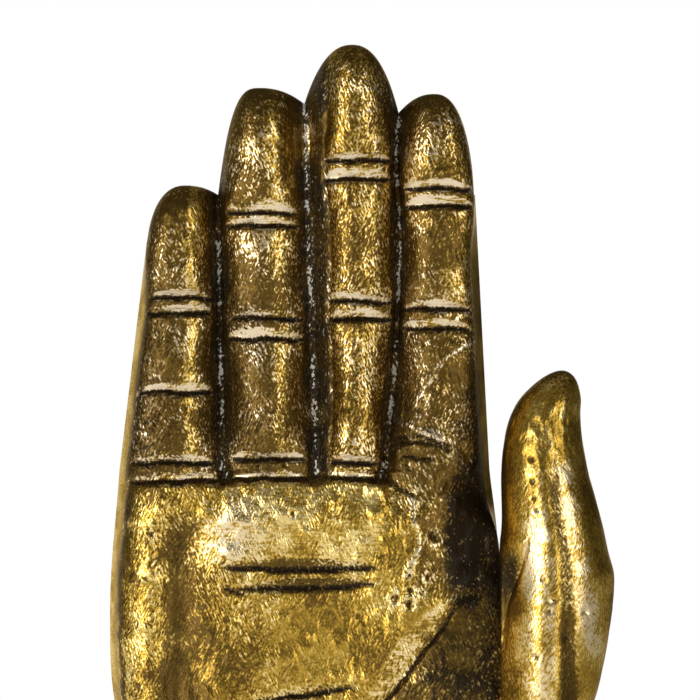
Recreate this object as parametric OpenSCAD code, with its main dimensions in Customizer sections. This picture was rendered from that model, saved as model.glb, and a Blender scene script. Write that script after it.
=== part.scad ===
// Cast brass hand in the gesture of reassurance: a raised right hand, palm forward, on a wooden plinth.
// The hand is two half castings that meet on a flat seam, with the thumb cast apart and dowelled on.
// Millimetres. +Z is up, the palm faces -Y, and the origin is under the middle of the plinth.

/* [Plinth] */
// Width of the wooden plinth
plinth_w = 118; // [110:1:160]
// Depth of the wooden plinth, front to back
plinth_d = 78; // [70:1:120]
// Height of the wooden plinth
plinth_h = 24; // [22:1:40]
// Radius of the cove cut round the plinth's top edge
plinth_cove = 6; // [2:0.5:9]

/* [Felt pads] */
// Diameter of each felt pad
pad_d = 14; // [8:0.5:20]
// Thickness of each felt pad
pad_t = 3; // [2:0.25:6]
// Depth of the socket that each pad is glued into
pad_socket = 1; // [0.5:0.25:1.5]
// Distance from the plinth's sides to the middle of a pad
pad_inset = 13; // [11:0.5:18]

/* [Foot plate] */
// Width of the brass plate that the wrist stands on
plate_w = 70; // [64:1:84]
// Depth of the plate, front to back
plate_d = 42; // [38:1:56]
// Thickness of the plate's lower tier
plate_t = 3; // [2:0.25:6]
// Thickness of the plate's upper tier
tier_t = 2; // [1:0.25:4]
// How far the upper tier is set in from the lower one
tier_inset = 2; // [0.5:0.25:3]
// Height of the block that plugs the open wrist
spigot_h = 9; // [6:0.5:16]
// Width of the block that plugs the open wrist
spigot_w = 36; // [28:1:42]

/* [Palm] */
// Width of the wrist where it is cut
wrist_w = 58; // [50:1:62]
// Depth of the wrist in front of the seam
wrist_front = 16; // [14:0.5:18]
// Depth of the wrist behind the seam
wrist_back = 15; // [13:0.5:17]
// Height from the cut wrist to the roots of the fingers
palm_h = 101; // [92:1:115]
// Reach of the palm's heel from the middle, on the little finger's side
heel_x = 45; // [43.5:0.25:50]
// Height of the palm's widest place above the cut wrist
heel_h = 73; // [64:1:80]
// Height of the palm's surface in front of the seam
palm_front = 13; // [12:0.5:16]
// Height of the back of the hand behind the seam
palm_back = 12; // [11:0.5:15]
// Height of the swelling at the root of the thumb
thenar_rise = 3; // [1:0.5:5]
// Height of the swelling at the heel of the hand
heel_rise = 3; // [0:0.5:5]
// Depth of the hollow between the first finger's root and the thumb
web_hollow = 4.5; // [1:0.5:6]

/* [Fingers] */
// Length of the little finger above the finger roots
little_len = 56.8; // [50:0.2:64]
// Length of the ring finger above the finger roots
ring_len = 76.2; // [70:0.2:82]
// Length of the middle finger above the finger roots
middle_len = 84.8; // [80:0.2:94]
// Length of the first finger above the finger roots
index_len = 75; // [70:0.2:84]
// Width of the little finger at its root
little_w = 20.8; // [18:0.2:24]
// Width of the ring finger at its root
ring_w = 18.6; // [15:0.2:21]
// Width of the middle finger at its root
middle_w = 13.4; // [11:0.2:16]
// Width of the first finger at its root
index_w = 21.2; // [18:0.2:24]
// Height of the fingers' crowns above the grooves between them, at the front
finger_front = 6.6; // [3:0.2:7]
// Height of the fingers' crowns above the grooves between them, at the back
finger_back = 4; // [2:0.2:6]
// Height of the groove floors in front of the seam
groove_front = 3.2; // [3:0.2:6]
// Height of the groove floors behind the seam
groove_back = 3; // [2:0.2:5]
// Length over which a fingertip rounds off
tip_round = 10; // [6:0.5:14]

/* [Thumb] */
// Height of the thumb casting from its lowest point to its tip
thumb_h = 94; // [84:1:102]
// Greatest width of the thumb, from its joint face outwards
thumb_w = 22.2; // [18:0.2:25]
// Greatest depth of the thumb, front to back
thumb_d = 24; // [21:0.5:28]
// How far the thumb stands in front of the seam, at its middle
thumb_y = 13.5; // [13:0.5:16]
// Height of the thumb's lowest point above the cut wrist
thumb_root_h = 27; // [22:0.5:32]

/* [Casting] */
// Width of the smooth sloping band along the hand's sides
side_draft = 1.8; // [0.5:0.1:2.6]
// Depth of the casting's hollow, on each side of the seam
core_d = 7; // [5:0.5:7.5]
// Thickness of metal left beside the hollow, on the little finger's side
core_side = 14; // [11:0.5:18]
// Thickness of metal left above the hollow, below the finger roots
core_top = 14; // [8:0.5:20]

/* [Fixings] */
// Diameter of the dowel between thumb and palm
thumb_dowel_d = 8; // [6:0.5:8.5]
// Length of that dowel on each side of the joint face
thumb_dowel_half = 9; // [7:0.5:11]
// Diameter of the cross pin that locks the thumb's dowel
cross_pin_d = 3; // [2:0.25:3.5]
// Diameter of the dowels across the seam
seam_dowel_d = 4; // [2.5:0.25:5]
// Length of a seam dowel in each half of the hand
seam_dowel_half = 4.5; // [3:0.25:5.5]
// Diameter of the rivets through the wrist
rivet_d = 3; // [2:0.25:4]
// Diameter of the stud that holds the hand on the plinth
stud_d = 8; // [6:0.5:10]
// Diameter of the locating pins between plate and plinth
locator_d = 4; // [3:0.25:5]
// Length of a locating pin in the plinth
locator_reach = 9; // [6:0.5:9]
// Depth of the recess for the nut under the plinth
recess_h = 12; // [11.5:0.25:12]
// Diameter of the recess for the nut
recess_d = 25; // [23:0.5:32]
// Diameter of the flat washer
washer_d = 20; // [17:0.5:22]
// Thickness of the flat washer
washer_t = 1.6; // [1:0.1:2]
// Thickness of the split spring washer
spring_t = 2; // [1.5:0.1:2.2]
// Width of the nut across its flats
nut_flats = 13; // [12.5:0.5:15]
// Height of the nut
nut_h = 6.5; // [5:0.25:6.5]

/* [Hidden] */
$fn = 64;
// Clearance of the stud in the plinth, and of the washers round the stud
stud_gap = 0.5;
// How far a rivet's outer end lies under the skin
rivet_sink = 0.5;
// How far a rivet reaches into the plate's block
rivet_bite = 4;
// How far cutting shapes run past the faces that they cut
over = 1;
// Metal left above the stud's end in the plate's block
stud_cover = 2;
// How far the stud stands out below the nut
stud_past = 1;

plinth_z = pad_t - pad_socket;
plate_z = plinth_z + plinth_h;
wrist_z = plate_z + plate_t + tier_t;
recess_z = plinth_z + recess_h;
stud_top_z = wrist_z + spigot_h - stud_cover;
stud_end_z = recess_z - washer_t - spring_t - nut_h - stud_past;

// Finger edges from the little finger's side to the thumb's side, at the finger roots.
row_reach = 43.1;
row_left = -row_reach;
edge_root = [
    row_left,
    row_left + little_w,
    row_left + little_w + ring_w,
    row_left + little_w + ring_w + middle_w,
    row_left + little_w + ring_w + middle_w + index_w
];
// Lean of those edges towards the thumb's side, in degrees.
edge_lean = [6.8, -1.1, -1.9, 2.9, -3];
finger_len = [little_len, ring_len, middle_len, index_len];
// Drop of the outline at each edge below the shorter finger's tip beside it.
edge_drop = [11, 1.8, 3, 3.6, 20];
edge_top = [
    little_len - edge_drop[0],
    min(little_len, ring_len) - edge_drop[1],
    min(ring_len, middle_len) - edge_drop[2],
    min(middle_len, index_len) - edge_drop[3],
    index_len - edge_drop[4]
];

// The joint face between palm and thumb is a plane of constant X, out past the first finger's root.
joint_proud = 1.5;
joint_drop = 16;
joint_x = edge_root[4] + joint_proud;
joint_top = palm_h - joint_drop;
joint_root = thumb_root_h;
// Heights over which the palm's side turns into the joint face, below it and above it.
joint_fade_low = 8;
joint_fade_high = 12;
// Place of the thumb's dowel: above the thumb's lowest point, and in front of the seam.
thumb_bore_rise = 32;
thumb_bore_front = 9;
thumb_bore_h = thumb_root_h + thumb_bore_rise;
thumb_bore_y = -thumb_bore_front;

// Columns across each finger, and rows along the hand and over the fingertips.
cols = 8;
rows = 34;
dome_rows = 6;
last_col = 4 * cols + 2;
last_row = rows + dome_rows;

function mix(a, b, t) = a + (b - a) * t;
function ramp(a, b, x) = let (t = min(max((x - a) / (b - a), 0), 1)) t * t * (3 - 2 * t);
function bell(x, w) = exp(-x * x / (w * w));
function arch(s, p) = pow(max(0, 1 - pow(abs(s), p)), 1 / p);

// Smooth curve through a list of [position, value] points.
function span_at(pts, x, i = 0) = i >= len(pts) - 2 || x < pts[i + 1][0] ? i : span_at(pts, x, i + 1);
function slope_at(pts, i) =
    let (a = pts[max(i - 1, 0)], b = pts[min(i + 1, len(pts) - 1)]) (b[1] - a[1]) / (b[0] - a[0]);
function curve(pts, x) =
    let (
        i = span_at(pts, x),
        d = pts[i + 1][0] - pts[i][0],
        t = min(max((x - pts[i][0]) / d, 0), 1)
    )
    mix(pts[i][1], pts[i + 1][1], t * t * (3 - 2 * t))
    + slope_at(pts, i) * d * t * (1 - t) * (1 - t)
    - slope_at(pts, i + 1) * d * t * t * (1 - t);

// Outline of the palm in the seam, at height h above the cut wrist.
wrist_straight = 12;
heel_len = 23;
joint_cut = 0.2;
left_outline = [
    [0, -wrist_w / 2],
    [wrist_straight, -wrist_w / 2],
    [heel_h - heel_len, edge_root[0]],
    [heel_h, -heel_x],
    [palm_h, edge_root[0]]
];
right_outline = [
    [0, wrist_w / 2],
    [wrist_straight, wrist_w / 2],
    [joint_root, joint_x + joint_cut],
    [joint_top, joint_x + joint_cut],
    [palm_h, edge_root[4]]
];
function edge_x(i, h) =
    h > palm_h ? edge_root[i] + tan(edge_lean[i]) * (h - palm_h)
    : i == 0 ? curve(left_outline, h)
    : min(joint_x, curve(right_outline, h));

// Share of the joint face's height range that applies at height h: 1 in it, 0 away from it.
function at_joint(h) =
    ramp(joint_root - joint_fade_low, joint_root, h) * (1 - ramp(joint_top, joint_top + joint_fade_high, h));
// Width of the sloping band at each side, which narrows towards the fingertip.
tip_draft = 0.3;
draft_fade = 15;
function draft_below(top, h) = mix(tip_draft, side_draft, ramp(0, draft_fade, palm_h + top - h));
function left_inset(h) = draft_below(edge_top[0], h);
function right_inset(h) = draft_below(edge_top[4], h) * (1 - at_joint(h));

// Height of the outline's top in finger i, s from -1 to 1 across it.
tip_fullness = 1.6;
tip_roundest = 2.3;
outer_tip_power = 2.4;
function top_h(i, s) =
    let (
        drop = finger_len[i] - edge_top[s < 0 ? i : i + 1],
        tip_h = palm_h + finger_len[i],
        tip_w = edge_x(i + 1, tip_h) - edge_x(i, tip_h),
        fullness = max(tip_roundest, 1 + tip_fullness * drop / tip_w),
        outer_side = (i == 0 && s < 0) || (i == 3 && s > 0)
    )
    tip_h - drop * (outer_side ? 1 - arch(s, outer_tip_power) : pow(abs(s), fullness));

// Surface of the palm and of the back of the hand, from the seam: u runs across it from 0 to 1.
side_front = 4.6;
side_back = 3;
// Shares of the palm's width over which its sides round off.
left_roll = 0.14;
right_roll = 0.16;
function side_roll(u, right_full) =
    let (l = 1 - min(u / left_roll, 1), r = (1 - min((1 - u) / right_roll, 1)) * (1 - right_full))
    sqrt(1 - l * l) * sqrt(1 - r * r);
// Swellings and hollows: middle and spread across the palm in shares of its width, then along its height.
thenar_across = [0.92, 0.2];
thenar_h = 52;
thenar_len = 26;
heel_across = [0.2, 0.16];
heel_pad_h = 38;
heel_pad_len = 22;
valley_across = [0.165, 0.075];
valley_depth = 2;
valley_low_h = 55;
valley_high_h = 75;
web_across = [0.97, 0.12];
web_drop = 12;
web_len = 16;
// How far the palm drops where it meets the fingers, and over which height.
root_drop = 1.6;
root_drop_h = 10;
function swell(u, across) = bell(u - across[0], across[1]);
function palm_surface(u, h) =
    side_front
    + (palm_front - side_front) * side_roll(u, at_joint(h))
    + thenar_rise * swell(u, thenar_across) * bell(h - thenar_h, thenar_len)
    + heel_rise * swell(u, heel_across) * bell(h - heel_pad_h, heel_pad_len)
    - valley_depth * swell(u, valley_across) * ramp(valley_low_h, valley_high_h, h)
    - web_hollow * swell(u, web_across) * bell(h - palm_h + web_drop, web_len)
    - root_drop * ramp(palm_h - root_drop_h, palm_h, h);
// The wrist's oval section turns into the palm's between these heights.
oval_to_h = 10;
palm_from_h = 42;
oval_power = 2.2;
back_power = 2.6;
finger_power = 2.1;
function front_palm(u, h) =
    mix(
        side_front + (wrist_front - side_front) * arch(2 * u - 1, oval_power),
        palm_surface(u, h),
        ramp(oval_to_h, palm_from_h, h)
    );
function back_palm(u, h) =
    side_back
    + (mix(wrist_back, palm_back, ramp(oval_to_h, palm_from_h, h)) - side_back)
    * arch(2 * u - 1, back_power);
function finger_surface(floor_h, crown_h, s) = mix(floor_h, crown_h, arch(s, finger_power));
// The grooves at the front rise towards their roots, by this share of the crowns' height.
groove_root_share = 0.58;
groove_rise_h = 14;
function groove_floor(h) =
    groove_front + finger_front * groove_root_share * (1 - ramp(palm_h, palm_h + groove_rise_h, h));
// The palm turns into the fingers from below their roots to above them, and more gently at the back.
root_below = 5;
root_above = 3;
back_root_below = 16;
back_root_above = 12;
function depth(front, i, s, u, h) =
    front
    ? mix(
        front_palm(u, h),
        finger_surface(groove_floor(h), groove_front + finger_front, s),
        ramp(palm_h - root_below, palm_h + root_above, h)
    )
    : mix(
        back_palm(u, h),
        finger_surface(groove_back, groove_back + finger_back, s),
        ramp(palm_h - back_root_below, palm_h + back_root_above, h)
    );

// The fingers thin towards their tips at the back, where the nails slope down.
nail_fall = 0.55;
nail_fall_len = 22;
nail_fall_power = 1.6;
function tip_share(front, below_top) =
    front ? 1 : 1 - nail_fall * pow(max(1 - below_top / nail_fall_len, 0), nail_fall_power);

// The hand's outline lies a little behind the plane of the seam.
rim_y = 0.6;
// How squarely the fingertips round off, front to back: 1 is a quarter ellipse, less is fuller.
tip_square = 0.5;
// Point of the grid over the front or the back: column j across the hand, row k from wrist to fingertips.
function col_finger(j) = min(max(floor((j - 1) / cols), 0), 3);
function col_s(j) = -1 + 2 * (j - 1 - cols * col_finger(j)) / cols;
function col_u(i, s) =
    (mix(edge_root[i], edge_root[i + 1], (s + 1) / 2) - edge_root[0]) / (edge_root[4] - edge_root[0]);
function col_x(i, s, h) =
    let (l = edge_x(0, h) + left_inset(h), r = edge_x(4, h) - right_inset(h))
    h <= palm_h ? mix(l, r, col_u(i, s))
    : mix(i == 0 ? l : edge_x(i, h), i == 3 ? r : edge_x(i + 1, h), (s + 1) / 2);
function grid_point(front, j, k) =
    let (
        jj = min(max(j, 1), last_col - 1),
        i = col_finger(jj),
        s = col_s(jj),
        top = top_h(i, s),
        turn = 90 * max(k - rows, 0) / dome_rows,
        h = k <= rows ? (top - tip_round) * k / rows : top - tip_round * (1 - sin(turn)),
        y = (front ? -1 : 1) * depth(front, i, s, col_u(i, s), h) * tip_share(front, top - h),
        x = j == 0 ? edge_x(0, h) : j == last_col ? edge_x(4, h) : col_x(i, s, h)
    )
    [x, jj == j ? mix(rim_y, y, pow(cos(turn), tip_square)) : rim_y, h];

// The whole hand without its thumb as one closed solid: front and back grids that share their rim.
module hand_body() {
    n = last_row + 1;
    c = last_col - 1;
    front_count = (last_col + 1) * n;
    points = concat(
        [for (j = [0:last_col], k = [0:last_row]) grid_point(true, j, k)],
        [for (j = [1:c], k = [0:last_row - 1]) grid_point(false, j, k)]
    );
    function back_id(j, k) =
        j == 0 || j == last_col || k == last_row ? j * n + k : front_count + (j - 1) * last_row + k;
    // Each four-sided face starts at the corner that keeps its diagonal off the rim.
    front = [
        for (j = [0:c], k = [0:last_row - 1])
            let (a = j * n + k, d = a + n)
                j < last_col / 2 ? [a + 1, d + 1, d, a] : [a, a + 1, d + 1, d]
    ];
    back = [
        for (j = [0:c], k = [0:last_row - 1])
            let (
                a = back_id(j, k),
                b = back_id(j, k + 1),
                e = back_id(j + 1, k + 1),
                d = back_id(j + 1, k)
            )
                j < last_col / 2 ? [b, a, d, e] : [a, d, e, b]
    ];
    wrist = concat(
        [[0, n, back_id(1, 0)]],
        [for (j = [1:c - 1]) [j * n, (j + 1) * n, back_id(j + 1, 0), back_id(j, 0)]],
        [[c * n, last_col * n, back_id(c, 0)]]
    );
    polyhedron(points, concat(front, back, wrist), convexity = 6);
}

// Everything on one side of the seam.
module beyond_seam(front) {
    reach = palm_h + middle_len + tip_round;
    translate([-reach, front ? 0 : -reach, -over]) cube([2 * reach, reach, reach]);
}

// Hollow of one half of the hand, open at the wrist and at the seam.
core_joint_wall = 7;
core_neck_rise = 8;
core_flare_h = 16;
core_top_h = palm_h - core_top;
core_left = -heel_x + core_side;
core_right = joint_x - thumb_dowel_half - core_joint_wall;
core_neck_h = spigot_h + core_neck_rise;
module core(front) {
    half = spigot_w / 2;
    outline = [
        [-half, -over],
        [half, -over],
        [half, core_neck_h],
        [core_right, core_neck_h + core_flare_h],
        [core_right, core_top_h],
        [core_left, core_top_h],
        [core_left, core_neck_h + core_flare_h],
        [-half, core_neck_h]
    ];
    translate([0, front ? over : core_d, 0])
        rotate([90, 0, 0])
            linear_extrude(core_d + over) polygon(outline);
}

// Rod along Y from y0 to y1.
module rod_y(d, x, y0, y1, h) {
    translate([x, max(y0, y1), h]) rotate([90, 0, 0]) cylinder(d = d, h = abs(y1 - y0));
}

// Places of the dowels across the seam: one halfway up the ring finger, one lower in the first finger,
// so that the halves go together one way only, and one at each side of the palm.
ring_dowel_share = 0.5;
index_dowel_share = 0.4;
heel_dowel_drop = 10;
joint_dowel_in = 7;
joint_dowel_drop = 6;
seam_places = [
    [(edge_root[1] + edge_root[2]) / 2, palm_h + ring_len * ring_dowel_share],
    [(edge_root[3] + edge_root[4]) / 2, palm_h + index_len * index_dowel_share],
    [-heel_x + core_side / 2, heel_h - heel_dowel_drop],
    [joint_x - joint_dowel_in, joint_top - joint_dowel_drop]
];
module seam_rods(half) {
    for (p = seam_places) rod_y(seam_dowel_d, p[0], -half, half, p[1]);
}

// Rivets through the wrist into the plate's block, front and back.
rivet_x = spigot_w / 4;
rivet_h = spigot_h / 2;
function wrist_u(x) = (x + wrist_w / 2 - side_draft) / (wrist_w - 2 * side_draft);
function rivet_skin(front) =
    let (u = wrist_u(rivet_x)) front ? front_palm(u, rivet_h) : back_palm(u, rivet_h);
module rivet_rods(past) {
    for (x = [-rivet_x, rivet_x]) {
        rod_y(rivet_d, x, -rivet_skin(true) + rivet_sink - past, -core_d + rivet_bite, rivet_h);
        rod_y(rivet_d, x, rivet_skin(false) - rivet_sink + past, core_d - rivet_bite, rivet_h);
    }
}

module thumb_rod() {
    translate([joint_x - thumb_dowel_half, thumb_bore_y, thumb_bore_h])
        rotate([0, 90, 0]) cylinder(d = thumb_dowel_d, h = 2 * thumb_dowel_half);
}
// The pin goes in from the seam and through the dowel into the metal beyond it.
cross_pin_bite = 1;
module cross_rod(past) {
    end_y = thumb_bore_y - thumb_dowel_d / 2 - cross_pin_bite;
    rod_y(cross_pin_d, joint_x - thumb_dowel_half / 2, past, end_y, thumb_bore_h);
}

// Outline of the thumb as shares of its width, from the joint face, along its height.
thumb_outer = [
    [0, 0.03], [0.08, 0.3], [0.19, 0.62], [0.32, 0.835], [0.44, 0.946], [0.57, 1], [0.63, 0.946],
    [0.725, 0.851], [0.785, 0.779], [0.88, 0.712], [0.95, 0.72], [1, 0.755]
];
thumb_inner = [
    [0, -0.4], [0.5, -0.25], [0.6, -0.08], [0.66, 0.004],
    [0.785, 0.008], [0.85, 0.034], [0.914, 0.11], [1, 0.34]
];
// Half depth of the thumb as a share of its greatest depth, and how far it leans back at its ends.
thumb_half_d = [[0, 0.2], [0.1, 0.38], [0.3, 0.5], [0.6, 0.46], [0.8, 0.37], [0.93, 0.28], [1, 0.22]];
thumb_shift = [[0, 0.24], [0.2, 0.06], [0.5, 0], [0.8, 0.02], [1, 0.1]];
thumb_sides = 24;
thumb_rings = 24;
thumb_dome = 0.93;
// The ring's angles up to this one lie on the thumb's round side, and the others on its joint side.
round_to = 120;

// Hollow fillet along the front of the joint face: its width, its depth there, the power of its curve and
// the shares of the thumb's height between which it comes in and goes out.
fillet_w = 7.5;
fillet_d = 5.5;
fillet_power = 1.6;
fillet_in = [0.05, 0.2];
fillet_out = [0.55, 0.66];
function fillet_depth(t) =
    fillet_d * ramp(fillet_in[0], fillet_in[1], t) * (1 - ramp(fillet_out[0], fillet_out[1], t));

function thumb_shrink(t) = t <= thumb_dome ? 1 : sqrt(1 - pow((t - thumb_dome) / (1 - thumb_dome), 2));
function thumb_point(t, a) =
    let (
        r = curve(thumb_outer, t) * thumb_w,
        l = curve(thumb_inner, t) * thumb_w,
        mid = (r + l) / 2,
        half_w = (r - l) / 2,
        half_d = curve(thumb_half_d, t) * thumb_d * thumb_shrink(t),
        meet = mid >= half_w ? round_to : min(round_to, acos(-mid / half_w)),
        on_round = abs(a) <= round_to,
        b = on_round ? a * meet / round_to : a,
        narrow = on_round ? 1 : sin(meet) / sin(round_to),
        out = max(0, mid + half_w * thumb_shrink(t) * cos(b)),
        beside = on_round ? pow(max(0, 1 - out / fillet_w), fillet_power) : abs(sin(a)) / sin(round_to),
        fillet = sin(b) < 0 ? fillet_depth(t) * beside : 0
    )
    [
        joint_x + out,
        -thumb_y + curve(thumb_shift, t) * thumb_d + half_d * sin(b) * narrow + fillet,
        thumb_root_h + t * thumb_h
    ];

module thumb_body() {
    n = thumb_sides;
    heights = concat(
        [for (k = [0:thumb_rings]) thumb_dome * k / thumb_rings],
        [for (a = [22:22:66]) mix(thumb_dome, 1, sin(a))]
    );
    last = len(heights) - 1;
    foot = n * (last + 1);
    points = concat(
        [for (t = heights, m = [0:n - 1]) thumb_point(t, 360 * m / n - 180)],
        [thumb_point(0, 0) - [curve(thumb_outer, 0) * thumb_w / 2, 0, 0], thumb_point(1, 0)]
    );
    faces = concat(
        [
            for (k = [0:last - 1], m = [0:n - 1]) let (q = (m + 1) % n)
                [k * n + m, (k + 1) * n + m, (k + 1) * n + q, k * n + q]
        ],
        [for (m = [0:n - 1]) [foot, m, (m + 1) % n]],
        [for (m = [0:n - 1]) [foot + 1, last * n + (m + 1) % n, last * n + m]]
    );
    polyhedron(points, faces, convexity = 4);
}

module on_wrist() {
    translate([0, 0, wrist_z]) children();
}

module palm_shell() {
    color("darkgoldenrod")
        on_wrist()
            difference() {
                hand_body();
                beyond_seam(true);
                core(true);
                seam_rods(seam_dowel_half);
                rivet_rods(over);
                thumb_rod();
                cross_rod(over);
            }
}

module back_shell() {
    color("goldenrod")
        on_wrist()
            difference() {
                hand_body();
                beyond_seam(false);
                core(false);
                seam_rods(seam_dowel_half);
                rivet_rods(over);
            }
}

module thumb() {
    color("goldenrod")
        on_wrist()
            difference() {
                thumb_body();
                thumb_rod();
            }
}

module thumb_dowel() {
    color("peru")
        on_wrist()
            difference() {
                thumb_rod();
                cross_rod(over);
            }
}

module thumb_cross_pin() {
    color("silver") on_wrist() cross_rod(0);
}

module seam_dowels() {
    color("peru") on_wrist() seam_rods(seam_dowel_half);
}

module wrist_rivets() {
    color("peru") on_wrist() rivet_rods(0);
}

// Flat shape with half-round ends.
module stadium(w, d) {
    square([w - d, d], center = true);
    for (x = [-1, 1]) translate([x * (w - d) / 2, 0]) circle(d = d);
}

locator_x = plate_w / 2 - plate_d / 4;
module locator_rods() {
    for (x = [-locator_x, locator_x])
        translate([x, 0, plate_z - locator_reach]) cylinder(d = locator_d, h = locator_reach + plate_t);
}

module foot_plate() {
    color("goldenrod")
        difference() {
            union() {
                translate([0, 0, plate_z]) linear_extrude(plate_t) stadium(plate_w, plate_d);
                translate([0, 0, plate_z + plate_t])
                    linear_extrude(tier_t) stadium(plate_w - 2 * tier_inset, plate_d - 2 * tier_inset);
                translate([-spigot_w / 2, -core_d, wrist_z]) cube([spigot_w, 2 * core_d, spigot_h]);
            }
            translate([0, 0, plate_z - over]) cylinder(d = stud_d, h = stud_top_z - plate_z + over);
            locator_rods();
            on_wrist() rivet_rods(0);
        }
}

module locating_pins() {
    color("silver") locator_rods();
}

module mounting_stud() {
    color("silver") translate([0, 0, stud_end_z]) cylinder(d = stud_d, h = stud_top_z - stud_end_z);
}

// Cross-section of the plinth with a cove along both top edges.
module plinth_profile(w) {
    difference() {
        translate([-w / 2, 0]) square([w, plinth_h]);
        for (x = [-1, 1]) translate([x * w / 2, plinth_h]) circle(r = plinth_cove);
    }
}

pad_names = ["felt_pad_front_left", "felt_pad_front_right", "felt_pad_rear_left", "felt_pad_rear_right"];
function pad_place(i) =
    [(i % 2 == 0 ? -1 : 1) * (plinth_w / 2 - pad_inset), (i < 2 ? -1 : 1) * (plinth_d / 2 - pad_inset), 0];

module plinth() {
    color("saddlebrown")
        difference() {
            translate([0, 0, plinth_z])
                intersection() {
                    translate([0, plinth_d / 2, 0])
                        rotate([90, 0, 0]) linear_extrude(plinth_d) plinth_profile(plinth_w);
                    translate([-plinth_w / 2, 0, 0])
                        rotate([90, 0, 90]) linear_extrude(plinth_w) plinth_profile(plinth_d);
                }
            translate([0, 0, plinth_z - over]) cylinder(d = recess_d, h = recess_h + over);
            translate([0, 0, plinth_z]) cylinder(d = stud_d + 2 * stud_gap, h = plinth_h + over);
            locator_rods();
            for (i = [0:3]) translate(pad_place(i)) cylinder(d = pad_d, h = pad_t);
        }
}

module ring(outer_d, t, top_z) {
    translate([0, 0, top_z - t])
        difference() {
            cylinder(d = outer_d, h = t);
            translate([0, 0, -over]) cylinder(d = stud_d + 2 * stud_gap, h = t + 2 * over);
        }
}

module flat_washer() {
    color("silver") ring(washer_d, washer_t, recess_z);
}

// Split ring with a slot cut through one side.
spring_slot = 1.2;
spring_wall = 3.2;
module spring_washer() {
    color("silver")
        difference() {
            ring(stud_d + 2 * spring_wall, spring_t, recess_z - washer_t);
            translate([0, -spring_slot / 2, recess_z - washer_t - spring_t - over])
                cube([stud_d, spring_slot, spring_t + 2 * over]);
        }
}

module hex_nut() {
    corner_r = nut_flats / sqrt(3);
    top_z = recess_z - washer_t - spring_t;
    chamfer = corner_r - nut_flats / 2;
    color("silver")
        translate([0, 0, top_z - nut_h])
            difference() {
                intersection() {
                    cylinder(r = corner_r, h = nut_h, $fn = 6);
                    rotate_extrude()
                        polygon([
                            [0, 0], [nut_flats / 2, 0], [corner_r, chamfer / 2],
                            [corner_r, nut_h - chamfer / 2], [nut_flats / 2, nut_h], [0, nut_h]
                        ]);
                }
                translate([0, 0, -over]) cylinder(d = stud_d, h = nut_h + 2 * over);
            }
}

module felt_pad(i) {
    color("darkslategray") translate(pad_place(i)) cylinder(d = pad_d, h = pad_t);
}

palm_shell();
back_shell();
thumb();
thumb_dowel();
thumb_cross_pin();
seam_dowels();
wrist_rivets();
foot_plate();
locating_pins();
mounting_stud();
plinth();
flat_washer();
spring_washer();
hex_nut();
for (i = [0:3]) felt_pad(i);
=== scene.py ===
import functools
import math

import bpy
import numpy as np
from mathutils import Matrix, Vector


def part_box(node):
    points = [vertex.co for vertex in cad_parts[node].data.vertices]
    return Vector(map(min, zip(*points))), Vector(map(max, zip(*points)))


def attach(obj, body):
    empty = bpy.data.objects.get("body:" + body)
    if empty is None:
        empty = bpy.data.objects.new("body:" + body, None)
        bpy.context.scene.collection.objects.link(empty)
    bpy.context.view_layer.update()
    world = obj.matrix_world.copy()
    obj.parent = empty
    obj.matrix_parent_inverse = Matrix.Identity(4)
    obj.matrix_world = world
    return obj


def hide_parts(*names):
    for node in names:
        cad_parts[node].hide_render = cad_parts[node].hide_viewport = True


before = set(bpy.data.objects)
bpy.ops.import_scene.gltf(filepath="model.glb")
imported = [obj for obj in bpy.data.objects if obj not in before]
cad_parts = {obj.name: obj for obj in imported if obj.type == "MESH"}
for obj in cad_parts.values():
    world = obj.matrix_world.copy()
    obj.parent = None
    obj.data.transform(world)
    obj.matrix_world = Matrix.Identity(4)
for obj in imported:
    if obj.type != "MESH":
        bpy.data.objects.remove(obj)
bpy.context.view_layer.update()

MM = 0.001

# Fingers and the edges left of them, counted from the viewer's left.
LITTLE, RING, MIDDLE, FIRST, RIGHT_SIDE = range(5)
FINGERS = (LITTLE, RING, MIDDLE, FIRST)

# Sizes of the hand in millimetres, as the castings have them. Heights h are above the cut wrist.
WRIST_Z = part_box("palm_shell")[0].z / MM
WRIST_W = 58.0
WRIST_FRONT = 16.0
WRIST_BACK = 15.0
WRIST_STRAIGHT = 12.0
WRIST_TURN = (10.0, 42.0)
PALM_H = 101.0
HEEL_X = 45.0
HEEL_H = 73.0
HEEL_LEN = 23.0
PALM_FRONT = 13.0
PALM_BACK = 12.0
SIDE_FRONT = 4.6
SIDE_BACK = 3.0
FINGER_W = (20.8, 18.6, 13.4, 21.2)
FINGER_LEN = (56.8, 76.2, 84.8, 75.0)
FINGER_FRONT = 6.6
FINGER_BACK = 4.0
GROOVE_FRONT = 3.2
GROOVE_ROOT = 7.0
GROOVE_ROOT_H = (PALM_H - 1.0, PALM_H + 14.0)
GROOVE_BACK = 3.0
GROOVE_FLAT = 0.35
TIP_ROUND = 10.0
TIP_SQUARE = 0.5
TIP_ARC = 1.35
TIP_FULLNESS = 1.6
TIP_ROUNDEST = 2.3
OUTER_TIP_POWER = 2.4
ROW_LEFT = -43.1
EDGE_ROOT = ROW_LEFT + np.cumsum((0.0,) + FINGER_W)
EDGE_LEAN = np.tan(np.radians((6.8, -1.1, -1.9, 2.9, -3.0)))
EDGE_DROP = (11.0, 1.8, 3.0, 3.6, 20.0)
EDGE_TOP = [
    min(FINGER_LEN[max(i - 1, LITTLE)], FINGER_LEN[min(i, FIRST)]) - drop for i, drop in enumerate(EDGE_DROP)
]
SIDE_DRAFT = 1.8
TIP_DRAFT = 0.3
DRAFT_FADE = 15.0
JOINT_X = EDGE_ROOT[RIGHT_SIDE] + 1.5
JOINT_CUT = 0.2
JOINT_TOP = PALM_H - 16.0
JOINT_FADE = (8.0, 12.0)
THUMB_ROOT_H = 27.0
THUMB_H = 94.0
THUMB_W = 22.2
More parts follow.
